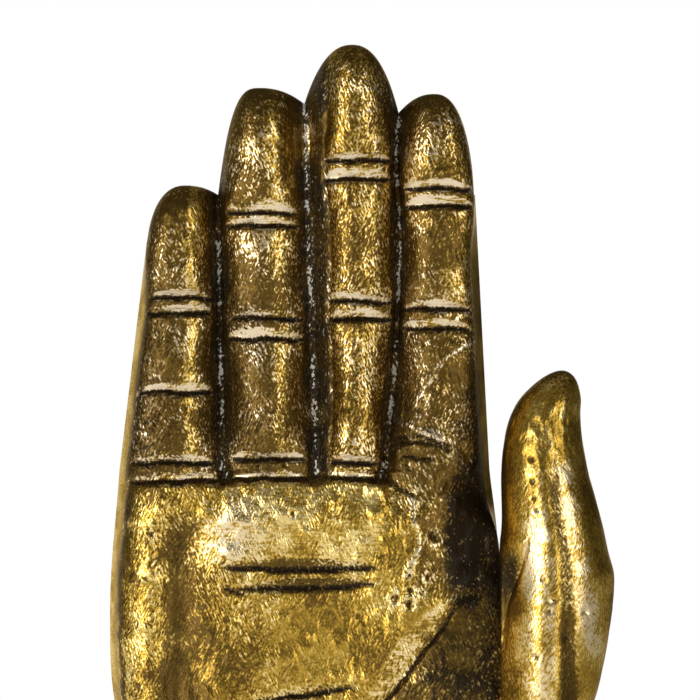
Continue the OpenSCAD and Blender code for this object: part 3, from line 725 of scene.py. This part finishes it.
def finish_skin():
    """Turn the active piece's normals outwards and shade it smooth except over the seam's edge."""
    bpy.ops.object.mode_set(mode="EDIT")
    bpy.ops.mesh.select_all(action="SELECT")
    bpy.ops.mesh.normals_make_consistent(inside=False)
    bpy.ops.object.mode_set(mode="OBJECT")
    bpy.ops.object.shade_smooth_by_angle(angle=SKIN_SMOOTH)


def set_masks(mesh, masks):
    for name, values in masks.items():
        layer = mesh.attributes.new(name, "FLOAT", "POINT")
        layer.data.foreach_set("value", np.clip(values, 0, MASK_MOST).astype(np.float32))


def vertex_places(mesh):
    places = np.empty(len(mesh.vertices) * 3)
    mesh.vertices.foreach_get("co", places)
    return places.reshape(-1, 3)


def skin_piece(name, skin, depth, masks, out):
    """Closed half casting from a grid that is drawn over its skin and capped along the seam."""
    points = skin.points(depth, out)
    cols, rows = points.shape[:2]
    deselect()
    bpy.ops.mesh.primitive_grid_add(x_subdivisions=cols - 1, y_subdivisions=rows - 1, size=2)
    piece = bpy.context.object
    piece.name = piece.data.name = name
    flat = vertex_places(piece.data)
    j = np.rint((flat[:, 0] + 1) / 2 * (cols - 1)).astype(int)
    k = np.rint((flat[:, 1] + 1) / 2 * (rows - 1)).astype(int)
    piece.data.vertices.foreach_set("co", points[j, k].ravel())
    set_masks(piece.data, {key: values[j, most(k - 1, 0)] for key, values in masks.items()})
    bpy.ops.object.mode_set(mode="EDIT")
    bpy.ops.mesh.select_mode(type="EDGE")
    bpy.ops.mesh.select_all(action="DESELECT")
    bpy.ops.mesh.select_non_manifold()
    bpy.ops.mesh.edge_face_add()
    bpy.ops.mesh.select_mode(type="VERT")
    bpy.ops.object.mode_set(mode="OBJECT")
    finish_skin()
    return piece


# Outline and depth of the thumb as shares of its width and depth, along its height.
THUMB_OUTER = [
    (0, 0.03), (0.08, 0.3), (0.19, 0.62), (0.32, 0.835), (0.44, 0.946), (0.57, 1), (0.63, 0.946),
    (0.725, 0.851), (0.785, 0.779), (0.88, 0.712), (0.95, 0.72), (1, 0.755),
]
THUMB_INNER = [
    (0, -0.4), (0.5, -0.25), (0.6, -0.08), (0.66, 0.004),
    (0.785, 0.008), (0.85, 0.034), (0.914, 0.11), (1, 0.34),
]
THUMB_HALF_D = [(0, 0.2), (0.1, 0.38), (0.3, 0.5), (0.6, 0.46), (0.8, 0.37), (0.93, 0.28), (1, 0.22)]
THUMB_SHIFT = [(0, 0.24), (0.2, 0.06), (0.5, 0), (0.8, 0.02), (1, 0.1)]
THUMB_DOME = 0.93
THUMB_FINE = 0.9
THUMB_SEGMENTS = 160
THUMB_RINGS = 280
THUMB_STEP = 0.002
THUMB_RADIUS = 11.0
FILLET_W = 7.5
FILLET_D = 5.5
FILLET_POWER = 1.6
FILLET_IN = (0.05, 0.2)
FILLET_OUT = (0.55, 0.66)
ROUND_TO = math.radians(120)
# Single pores of the thumb: place across, height and radius.
THUMB_PORES = [
    (38.0, 104.0, 0.4), (38.2, 99.6, 0.4), (38.4, 96.4, 0.35), (38.8, 94.0, 0.35), (42.0, 77.0, 0.5),
    (44.6, 69.6, 0.7), (41.2, 75.0, 0.4), (48.4, 74.6, 0.35), (40.0, 81.0, 0.35), (38.6, 66.0, 0.5),
]
THUMB_PORE_DEPTH = 0.5
THUMB_FLAKES = ((43.5, 113), (3.5, 5))
THUMB_LENGTHWISE = ((40, 52), (98, 106))
# Heights of the painted highlight band on the thumb's right side.
THUMB_HIGHLIGHT_H = ((62, 72), (100, 108))


def thumb_points(t, a):
    """Points of the thumb's skin at share t of its height and angle a round it, in millimetres."""
    outer = curve(THUMB_OUTER, t) * THUMB_W
    inner = curve(THUMB_INNER, t) * THUMB_W
    centre = (outer + inner) / 2
    half_w = (outer - inner) / 2
    shrink = np.sqrt(1 - unit((t - THUMB_DOME) / (1 - THUMB_DOME)) ** 2)
    half_d = curve(THUMB_HALF_D, t) * THUMB_D * shrink
    meet = np.minimum(ROUND_TO, np.arccos(np.clip(-centre / half_w, -1, 1)))
    on_round = np.abs(a) <= ROUND_TO
    b = np.where(on_round, a * meet / ROUND_TO, a)
    narrow = np.where(on_round, 1, np.sin(meet) / math.sin(ROUND_TO))
    out = most(0, centre + half_w * shrink * np.cos(b))
    near = most(0, 1 - out / FILLET_W) ** FILLET_POWER
    beside = np.where(on_round, near, np.abs(np.sin(a)) / math.sin(ROUND_TO))
    fillet = FILLET_D * span(FILLET_IN, FILLET_OUT, t) * np.where(np.sin(b) < 0, beside, 0)
    y = -THUMB_Y + curve(THUMB_SHIFT, t) * THUMB_D + half_d * np.sin(b) * narrow + fillet
    return np.stack([JOINT_X + out, y, THUMB_ROOT_H + t * THUMB_H], -1)


def thumb_normals(t, a):
    to_side = thumb_points(t, a + THUMB_STEP) - thumb_points(t, a - THUMB_STEP)
    to_tip = thumb_points(np.minimum(t + THUMB_STEP, 1), a) - thumb_points(most(t - THUMB_STEP, 0), a)
    normal = np.cross(to_side, to_tip)
    return normal / most(np.linalg.norm(normal, axis=1, keepdims=True), 1e-9)


def thumb_marks(x, h, t, a, front):
    """How far the thumb's skin swells, with its crest, valley and pores, and the masks of its finish, with
    painted shade at its root, on its sides and in its valley, and painted highlight bands on its left ridge
    and its right side.
    """
    around = a * THUMB_RADIUS
    lumps = noise(around, h, (3.4, 5.0), 41) + 0.6 * noise(around, h, (1.4, 2.4), 42)
    streaks = noise(around + 0.5 * h, h, (0.9, 2.2), 43)
    pebbles = noise(around, h, (1.2, 1.5), 44) * bell(h - 109, 9) * front
    crest_x = mix(42.5, 40.4, ramp(82, 100, h))
    low_x = crest_x + 1.7 + 0.05 * most(92 - h, 0)
    ridge_x = 44.4 + 0.178 * (100 - h)
    lengthwise = span(*THUMB_LENGTHWISE, h) * front
    crest = uneven_bell(x, crest_x, 2.8, 2.2) * lengthwise
    valley = bell(x - low_x, 1.8) * lengthwise
    swell = 0.4 * crest - 0.22 * valley + 0.05 * lumps + 0.03 * streaks + 0.12 * pebbles
    pores = np.zeros_like(x)
    for px, ph, radius in THUMB_PORES:
        on = bell(np.hypot(x - px, h - ph), radius) * front
        swell -= THUMB_PORE_DEPTH * on
        pores = most(pores, on)
    # Painted shade where the thumb's root meets the palm and the web.
    root = mix(0.45, 0.85, ramp(72, 80, h)) * fall(2, 5, x - JOINT_X) * fall(83, 90, h)
    tip = ramp(THUMB_DOME, 1.0, t)
    # Painted shade on the thumb's left face and on its right side.
    left_side = fall(34.8, 37.2, x)
    shade = ramp(crest_x - 0.2, crest_x + 1.3, x) * fall(low_x + 0.4, low_x + 2.2, x) * lengthwise
    right_side = ramp(ridge_x + 1.6, ridge_x + 3.6, x)
    dark = most(pores, root, 0.55 * tip, 0.64 * shade, 0.24 * left_side, 0.27 * right_side)
    # Painted highlights: cream bands where the left and right lamps are reflected on the thumb.
    left_highlight_band = ramp(35.8, 37.0, x) * fall(crest_x - 0.6, crest_x + 0.5, x) * lengthwise
    right_highlight_band = bell(x - ridge_x, 2.0) * front * span(*THUMB_HIGHLIGHT_H, h)
    flakes = spot(x, h, *THUMB_FLAKES) * front * ramp(0.1, 0.5, pebbles)
    rub_and_highlight = 0.1 + 0.3 * left_highlight_band + 0.5 * right_highlight_band + 0.5 * flakes
    gold = 1 - 0.6 * left_highlight_band - 0.8 * right_highlight_band
    return swell, {"dark": dark, "rub_and_highlight": rub_and_highlight, "coarse": 0.5 + 0.5 * tip, "gold": gold}


def thumb_piece():
    """Thumb casting: a sphere's rings drawn over the thumb's skin, closer together at its tip."""
    deselect()
    bpy.ops.mesh.primitive_uv_sphere_add(segments=THUMB_SEGMENTS, ring_count=THUMB_RINGS, radius=1)
    piece = bpy.context.object
    piece.name = piece.data.name = "thumb_skin"
    ball = vertex_places(piece.data)
    t = 1 - np.arccos(np.clip(ball[:, 2], -1, 1)) / math.pi
    fine = 1 - THUMB_FINE
    t = np.where(t > THUMB_FINE, THUMB_FINE + fine * np.sin((t - THUMB_FINE) / fine * math.pi / 2), t)
    a = np.arctan2(ball[:, 1], ball[:, 0])
    places = thumb_points(t, a)
    normal = thumb_normals(t, a)
    x = places[:, 0]
    swell, masks = thumb_marks(x, places[:, 2], t, a, ramp(0.0, 0.4, -normal[:, 1]))
    free = ramp(0.2, 1.2, x - JOINT_X) * span((0.02, 0.06), (0.985, 1), t)
    places += normal * (swell * free)[:, None]
    places[:, 2] += WRIST_Z
    piece.data.vertices.foreach_set("co", (places * MM).ravel())
    set_masks(piece.data, masks)
    finish_skin()
    return piece


def merged_copy(node, name, bevel):
    """Copy of a CAD node with its triangles joined into faces and its edges broken by a small bevel."""
    deselect()
    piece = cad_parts[node].copy()
    piece.data = piece.data.copy()
    piece.name = piece.data.name = name
    bpy.context.scene.collection.objects.link(piece)
    piece.select_set(True)
    bpy.context.view_layer.objects.active = piece
    bpy.ops.object.mode_set(mode="EDIT")
    bpy.ops.mesh.select_all(action="SELECT")
    bpy.ops.mesh.remove_doubles(threshold=1e-6)
    bpy.ops.mesh.dissolve_limited(angle_limit=FLAT_ENOUGH)
    bpy.ops.object.mode_set(mode="OBJECT")
    edges = piece.modifiers.new("edges", "BEVEL")
    edges.width = bevel * MM
    edges.segments = 3
    edges.limit_method = "ANGLE"
    edges.angle_limit = HARDWARE_EDGE
    bpy.ops.object.modifier_apply(modifier=edges.name)
    bpy.ops.object.shade_smooth_by_angle(angle=HARDWARE_SMOOTH)
    faces = piece.modifiers.new("faces", "WEIGHTED_NORMAL")
    faces.keep_sharp = True
    bpy.ops.object.modifier_apply(modifier=faces.name)
    return piece


class Value:
    """A shader socket; arithmetic on it adds Math nodes to its tree."""

    def __init__(self, tree, socket):
        self.tree = tree
        self.socket = socket

    def math(self, operation, a, b, clamp=False):
        return self.tree.node("ShaderNodeMath", {"operation": operation, "use_clamp": clamp}, {0: a, 1: b})

    def __add__(self, other):
        return self.math("ADD", self, other)

    def __sub__(self, other):
        return self.math("SUBTRACT", self, other)

    def __rsub__(self, other):
        return self.math("SUBTRACT", other, self)

    def __mul__(self, other):
        return self.math("MULTIPLY", self, other)

    __radd__ = __add__
    __rmul__ = __mul__

    def clamped(self):
        return self.math("ADD", self, 0.0, clamp=True)

    def step(self, low, high):
        """0 below low, 1 above high, smooth between them."""
        ends = {"From Min": low, "From Max": high, "Value": self}
        return self.tree.node("ShaderNodeMapRange", {"interpolation_type": "SMOOTHSTEP"}, ends)


class Tree:
    """Node tree of a material or the world."""

    def __init__(self, owner):
        owner.use_nodes = True
        self.owner = owner
        self.tree = owner.node_tree
        self.tree.nodes.clear()

    def node(self, kind, settings=None, inputs=None, out=0):
        made = self.tree.nodes.new(kind)
        for key, value in (settings or {}).items():
            setattr(made, key, value)
        for key, value in (inputs or {}).items():
            if isinstance(value, Value):
                self.tree.links.new(value.socket, made.inputs[key])
            else:
                made.inputs[key].default_value = value
        return Value(self, made.outputs[out]) if made.outputs else None

    def object_coords(self, stretch=(1, 1, 1), turn_deg=(0, 0, 0)):
        """Object coordinates, turned first and stretched after."""
        place = self.node("ShaderNodeTexCoord", out="Object")
        turn = [math.radians(angle) for angle in turn_deg]
        turned = self.node("ShaderNodeMapping", {}, {"Vector": place, "Rotation": turn})
        return self.node("ShaderNodeMapping", {}, {"Vector": turned, "Scale": stretch})

    def split(self, coords):
        """The three parts of a vector."""
        parts = self.node("ShaderNodeSeparateXYZ", {}, {0: coords})
        return [Value(self, socket) for socket in parts.socket.node.outputs]

    def noise(self, scale, detail, stretch=(1, 1, 1), turn_deg=(0, 0, 0), rough=0.55):
        coords = self.object_coords(stretch, turn_deg)
        inputs = {"Vector": coords, "Scale": scale, "Detail": detail, "Roughness": rough}
        return self.node("ShaderNodeTexNoise", {}, inputs)

    def mask(self, name):
        return self.node("ShaderNodeAttribute", {"attribute_name": name}, out="Fac")

    def light_path(self, ray):
        return self.node("ShaderNodeLightPath", out=ray)

    def mix(self, factor, a, b):
        settings = {"data_type": "RGBA", "clamp_factor": True}
        return self.node("ShaderNodeMix", settings, {"Factor": factor, 6: a, 7: b}, out=2)

    def bump(self, height, distance):
        return self.node("ShaderNodeBump", {}, {"Height": height, "Distance": distance, "Strength": 1.0})

    def surface(self, inputs):
        shader = self.node("ShaderNodeBsdfPrincipled", {}, inputs)
        self.node("ShaderNodeOutputMaterial", {}, {"Surface": shader})
        return self.owner


def colour(r, g, b):
    return (r, g, b, 1.0)


CREAM = colour(0.9, 0.74, 0.5)
PALE_GOLD = colour(0.93, 0.71, 0.27)
TARNISHED = colour(0.29, 0.17, 0.025)
HONEY = colour(0.56, 0.345, 0.045)
BROWN = colour(0.078, 0.044, 0.012)
BLACK = colour(0.018, 0.011, 0.005)
# Pale grey of the painted glints.
PAINTED_GLINT_GREY = colour(0.8, 0.77, 0.68)
EDGE_TINT = colour(0.92, 0.8, 0.58)
WOOD_DARK = colour(0.055, 0.022, 0.009)
WOOD_LIGHT = colour(0.13, 0.055, 0.022)
WOOD_FIBRE = colour(0.09, 0.036, 0.014)
WOOD_PORE = colour(0.02, 0.009, 0.005)
FELT_DARK = colour(0.02, 0.028, 0.024)
FELT_LIGHT = colour(0.08, 0.1, 0.088)
FLOOR_PAINT = colour(0.82, 0.82, 0.81)
WHITE = colour(1, 1, 1)

# Scale and turn of the strokes in the cast skin, and of the file's marks on it.
STROKE_SCALE = (1, 1, 0.3)
STROKE_FALL = (0, 24, 0)
STROKE_RISE = (0, -24, 0)
FILED_ACROSS = ((0.14, 1, 1), (0, 0, 0))
FILED_SLANTED = ((0.3, 1, 1), (0, 50, 0))
RELIEF_PER_SLOPE = 2.8


def cast_brass(name, grain_mm, slope, brown_share, cloudy, smooth_rough, filing):
    """Cast brass with a brown patina in its pits, black in its grooves and rubbed bright where it is proud;
    the dark mask also brings painted shade and the rubbed mask painted highlights. The strokes in its skin
    are grain_mm across, and slope is the slope of their sides."""
    tree = Tree(bpy.data.materials.new(name))
    cell = grain_mm * MM
    grain = tree.noise(0.75 / cell, 0.0)
    falling = tree.noise(1 / cell, 0.0, STROKE_SCALE, STROKE_FALL)
    rising = tree.noise(1 / cell, 0.0, STROKE_SCALE, STROKE_RISE)
    marks = tree.noise(0.9 / cell, 1.0, *filing)
    patch = tree.noise(220.0, 1.0)
    cloud = tree.noise(110.0, 3.0)
    dark, rub_and_highlight, coarse, silver, gold = map(tree.mask, ("dark", "rub_and_highlight", "coarse", "silver", "gold"))
    way = patch.step(0.42, 0.58)
    height = falling * way + rising * (1 - way) + grain * 0.7
    low = (0.85 - height) * (coarse * 0.85 + 0.15) * (1 - gold * 0.4)
    haze = (cloud - 0.5) * cloudy
    # Brown patina in pits, and painted shade where the dark mask holds it.
    pits = low * 1.3 - haze * 1.3 + brown_share + dark * 0.9 - rub_and_highlight * 0.5 - gold * 0.12
    brown = pits.step(-0.05, 0.4)
    # Painted glints: pale grey specks where the glint mask and the strokes are high.
    bits = (height + silver * 0.53 - 1.22).step(0, 0.15) * silver.step(0.02, 0.3)
    peaks = height.step(0.98, 1.2) * coarse
    black = (dark + low * 0.6 - bits - peaks * 0.5).step(0.5, 0.95)
    filing_and_highlight = rub_and_highlight * (marks * 2.6 + (patch - 0.5) * 1.8 - 0.6)
    shine = filing_and_highlight - low * 1.4 + haze
    tone = tree.mix(shine.step(-0.2, 0.25), TARNISHED, HONEY)
    tone = tree.mix(shine.step(0.1, 0.5), tone, tree.mix(gold, CREAM, PALE_GOLD))
    tone = tree.mix(brown * 0.8, tone, BROWN)
    tone = tree.mix(black, tone, BLACK)
    tone = tree.mix(bits, tone, PAINTED_GLINT_GREY)
    relief = height * (coarse + 0.04) * (1 + gold * 0.4) - marks * rub_and_highlight * 0.3
    return tree.surface({
        "Base Color": tone,
        "Metallic": 1 - black * (silver.step(0, 0.2) * 0.4 + 0.2) - bits * 0.8,
        "Roughness": smooth_rough + brown * 0.12 + black * 0.1,
        "Specular Tint": EDGE_TINT,
        "Coat Weight": 0.04,
        "Coat Roughness": 0.15,
        "Normal": tree.bump(relief, slope * RELIEF_PER_SLOPE * cell),
    })


def wood():
    """Dark stained wood with its grain along the plinth, under a satin lacquer."""
    tree = Tree(bpy.data.materials.new("plinth_wood"))
    wide = tree.noise(6.0, 4.0, (4, 40, 40))
    fibre = tree.noise(1.0, 3.0, (18, 700, 700))
    pores = tree.noise(1.0, 1.0, (60, 1500, 1500)).step(0.62, 0.75)
    rings = wide * 9.0 + fibre * 0.5
    ring = tree.node("ShaderNodeMath", {"operation": "PINGPONG"}, {0: rings, 1: 1.0})
    tone = tree.mix(ring, WOOD_DARK, WOOD_LIGHT)
    tone = tree.mix(fibre.step(0.35, 0.7) * 0.5, tone, WOOD_FIBRE)
    tone = tree.mix(pores, tone, WOOD_PORE)
    return tree.surface({
        "Base Color": tone,
        "Roughness": 0.32 + fibre * 0.16,
        "Coat Weight": 0.25,
        "Coat Roughness": 0.2,
        "Normal": tree.bump(fibre * 0.6 - pores, 0.12 * MM),
    })


def brushed_metal(name, bright, dull, rough):
    """Turned or drawn metal with fine lines and a few dull patches."""
    tree = Tree(bpy.data.materials.new(name))
    lines = tree.noise(1.0, 2.0, (60, 60, 3000))
    cloud = tree.noise(90.0, 3.0)
    return tree.surface({
        "Base Color": tree.mix(cloud.step(0.35, 0.7), bright, dull),
        "Metallic": 1.0,
        "Roughness": rough + lines * 0.14 + cloud * 0.08,
        "Normal": tree.bump(lines, 0.03 * MM),
    })


def felt():
    """Pressed wool felt with matted fibres."""
    tree = Tree(bpy.data.materials.new("felt"))
    fibre = tree.noise(1600.0, 4.0, (1, 1, 2), rough=0.7)
    matt = tree.noise(260.0, 3.0)
    return tree.surface({
        "Base Color": tree.mix(fibre * 0.6 + matt * 0.4, FELT_DARK, FELT_LIGHT),
        "Roughness": 0.95,
        "Sheen Weight": 0.4,
        "Normal": tree.bump(fibre, 0.4 * MM),
    })


def dress(piece, finish):
    piece.data.materials.clear()
    piece.data.materials.append(finish)


def place(piece, node, slot, finish):
    """The piece stands for a CAD node, rides with the hand and takes its finish."""
    dress(piece, finish)
    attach(piece, "root")
    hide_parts(node)


# The hand: rows of its skins lie closer together where lines are chased.
FRONT_ROWS = row_heights((50, 28), (90, 84), (187, 284))
BACK_ROWS = row_heights((50, 30), (187, 220))

palm_brass = cast_brass(
    "palm_brass", grain_mm=0.36, slope=0.08, brown_share=0.1,
    cloudy=1.0, smooth_rough=0.32, filing=FILED_ACROSS
)
front = Skin(54, 4, FRONT_ROWS)
depth, values = front_relief(front)
palm = skin_piece("palm_skin", front, depth, front_finish(front, *values), -1)
place(palm, "palm_shell", "palm_brass", palm_brass)

back_brass = cast_brass(
    "back_brass", grain_mm=0.45, slope=0.12, brown_share=0.06,
    cloudy=0.6, smooth_rough=0.29, filing=FILED_ACROSS
)
rear = Skin(36, 3, BACK_ROWS)
back = skin_piece("back_skin", rear, *back_casting(rear), 1)
place(back, "back_shell", "back_brass", back_brass)

thumb_brass = cast_brass(
    "thumb_brass", grain_mm=0.34, slope=0.06, brown_share=0.0,
    cloudy=1.0, smooth_rough=0.33, filing=FILED_SLANTED
)
place(thumb_piece(), "thumb", "thumb_brass", thumb_brass)

# Plate, plinth and what holds the hand on it, each with the width of its broken edges in millimetres.
plate_brass = brushed_metal("plate_brass", colour(0.72, 0.5, 0.16), colour(0.45, 0.28, 0.08), 0.22)
fixing_brass = brushed_metal("fixing_brass", colour(0.8, 0.6, 0.25), colour(0.6, 0.42, 0.16), 0.25)
steel = brushed_metal("steel", colour(0.62, 0.63, 0.65), colour(0.42, 0.43, 0.45), 0.26)
stand = [
    ("foot_plate", "plate", 0.4, "plate_brass", plate_brass),
    ("plinth", "coved_plinth", 0.7, "plinth_wood", wood()),
    ("hex_nut", "nut", 0.15, "steel", steel),
    ("flat_washer", "washer", 0.2, "steel", steel),
    ("spring_washer", "split_washer", 0.2, "steel", steel),
    ("mounting_stud", "stud", 0.5, "steel", steel),
]
pad_felt = felt()
for pad in ("front_left", "front_right", "rear_left", "rear_right"):
    stand.append(("felt_pad_" + pad, "pad_" + pad, 0.4, "felt", pad_felt))
for node, name, bevel, slot, finish in stand:
    place(merged_copy(node, name, bevel), node, slot, finish)
for node in ("thumb_dowel", "seam_dowels", "wrist_rivets"):
    dress(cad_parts[node], fixing_brass)
for node in ("thumb_cross_pin", "locating_pins"):
    dress(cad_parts[node], steel)

FLOOR_R = 6.0
FLOOR_SIDES = 96


def floor_paint():
    """Pale paint that turns white away from the hand, and looks like a sheet of paper in the metal."""
    made = bpy.data.materials.new("floor_paint")
    tree = Tree(made)
    away = tree.node("ShaderNodeVectorMath", {"operation": "LENGTH"}, {0: tree.object_coords()}, out="Value")
    rightward, _, _ = tree.split(tree.object_coords())
    seen = tree.light_path("Is Camera Ray")
    mirrored = tree.light_path("Is Glossy Ray") + tree.light_path("Is Transmission Ray")
    sheet = 0.85 - rightward.step(0.05, 0.3) * 0.7
    glow = (seen * (0.7 + away.step(0.3, 0.7) * 0.3) + mirrored * sheet).clamped()
    paint = tree.node("ShaderNodeBsdfDiffuse", {}, {"Color": FLOOR_PAINT})
    white = tree.node("ShaderNodeEmission", {}, {"Color": WHITE, "Strength": 1.0})
    shade = tree.node("ShaderNodeMixShader", {}, {0: glow, 1: paint, 2: white})
    tree.node("ShaderNodeOutputMaterial", {}, {"Surface": shade})
    return made


deselect()
bpy.ops.mesh.primitive_circle_add(vertices=FLOOR_SIDES, radius=FLOOR_R, fill_type="NGON")
floor = bpy.context.object
floor.name = "floor"
dress(floor, floor_paint())


def studio():
    """White backdrop behind the hand, a pale wall beside it to the left, a dim room in front of it and a
    little light straight above."""
    world = bpy.data.worlds.new("studio")
    tree = Tree(world)
    rightward, behind, upward = tree.split(tree.node("ShaderNodeTexCoord", out="Generated"))
    wall = (0 - rightward).step(0.3, 0.6) * behind.step(0.3, 0.7)
    level = 0.1 + behind.step(0.85, 0.99) * 0.9 + wall * 0.6
    level = level * (1 - upward.step(0.25, 0.6) * 0.2) + upward.step(0.6, 0.95) * 0.14
    sky = tree.node("ShaderNodeBackground", {}, {"Color": WHITE, "Strength": level})
    tree.node("ShaderNodeOutputWorld", {}, {"Surface": sky})
    return world


bpy.context.scene.world = studio()
LAMP_AIM = Vector((0.0, 0.0, 0.15))


def softbox(name, turn_deg, rise, distance, width, height, watts):
    """Soft lamp at a compass turn from the camera's side, facing the middle of the hand."""
    turn = math.radians(turn_deg)
    lamp = bpy.data.lights.new(name, "AREA")
    lamp.shape = "RECTANGLE"
    lamp.size = width
    lamp.size_y = height
    lamp.energy = watts
    holder = bpy.data.objects.new(name, lamp)
    holder.location = LAMP_AIM + Vector((math.sin(turn), -math.cos(turn), rise)) * distance
    holder.rotation_euler = (LAMP_AIM - holder.location).to_track_quat("-Z", "Y").to_euler()
    holder.visible_camera = False
    bpy.context.scene.collection.objects.link(holder)


softbox("left_softbox", turn_deg=-42, rise=0.05, distance=0.9, width=0.5, height=0.8, watts=5.5)
softbox("right_softbox", turn_deg=38, rise=0.1, distance=0.9, width=0.36, height=0.8, watts=2.8)

# Camera at the photograph's viewing angle, level with the middle of the fingers.
VIEW_X = 3 * MM
VIEW_Z = 156 * MM
VIEW_FROM = 0.6
VIEW_WIDTH = 0.14
SENSOR = 36.0
camera = bpy.data.objects.new("camera", bpy.data.cameras.new("camera"))
camera.location = (VIEW_X, -VIEW_FROM, VIEW_Z)
camera.rotation_euler = (math.radians(90), 0, 0)
camera.data.sensor_width = SENSOR
camera.data.lens = SENSOR * VIEW_FROM / VIEW_WIDTH
camera.data.clip_start = 0.01
bpy.context.scene.collection.objects.link(camera)
bpy.context.scene.camera = camera
bpy.context.scene.view_settings.view_transform = "Standard"
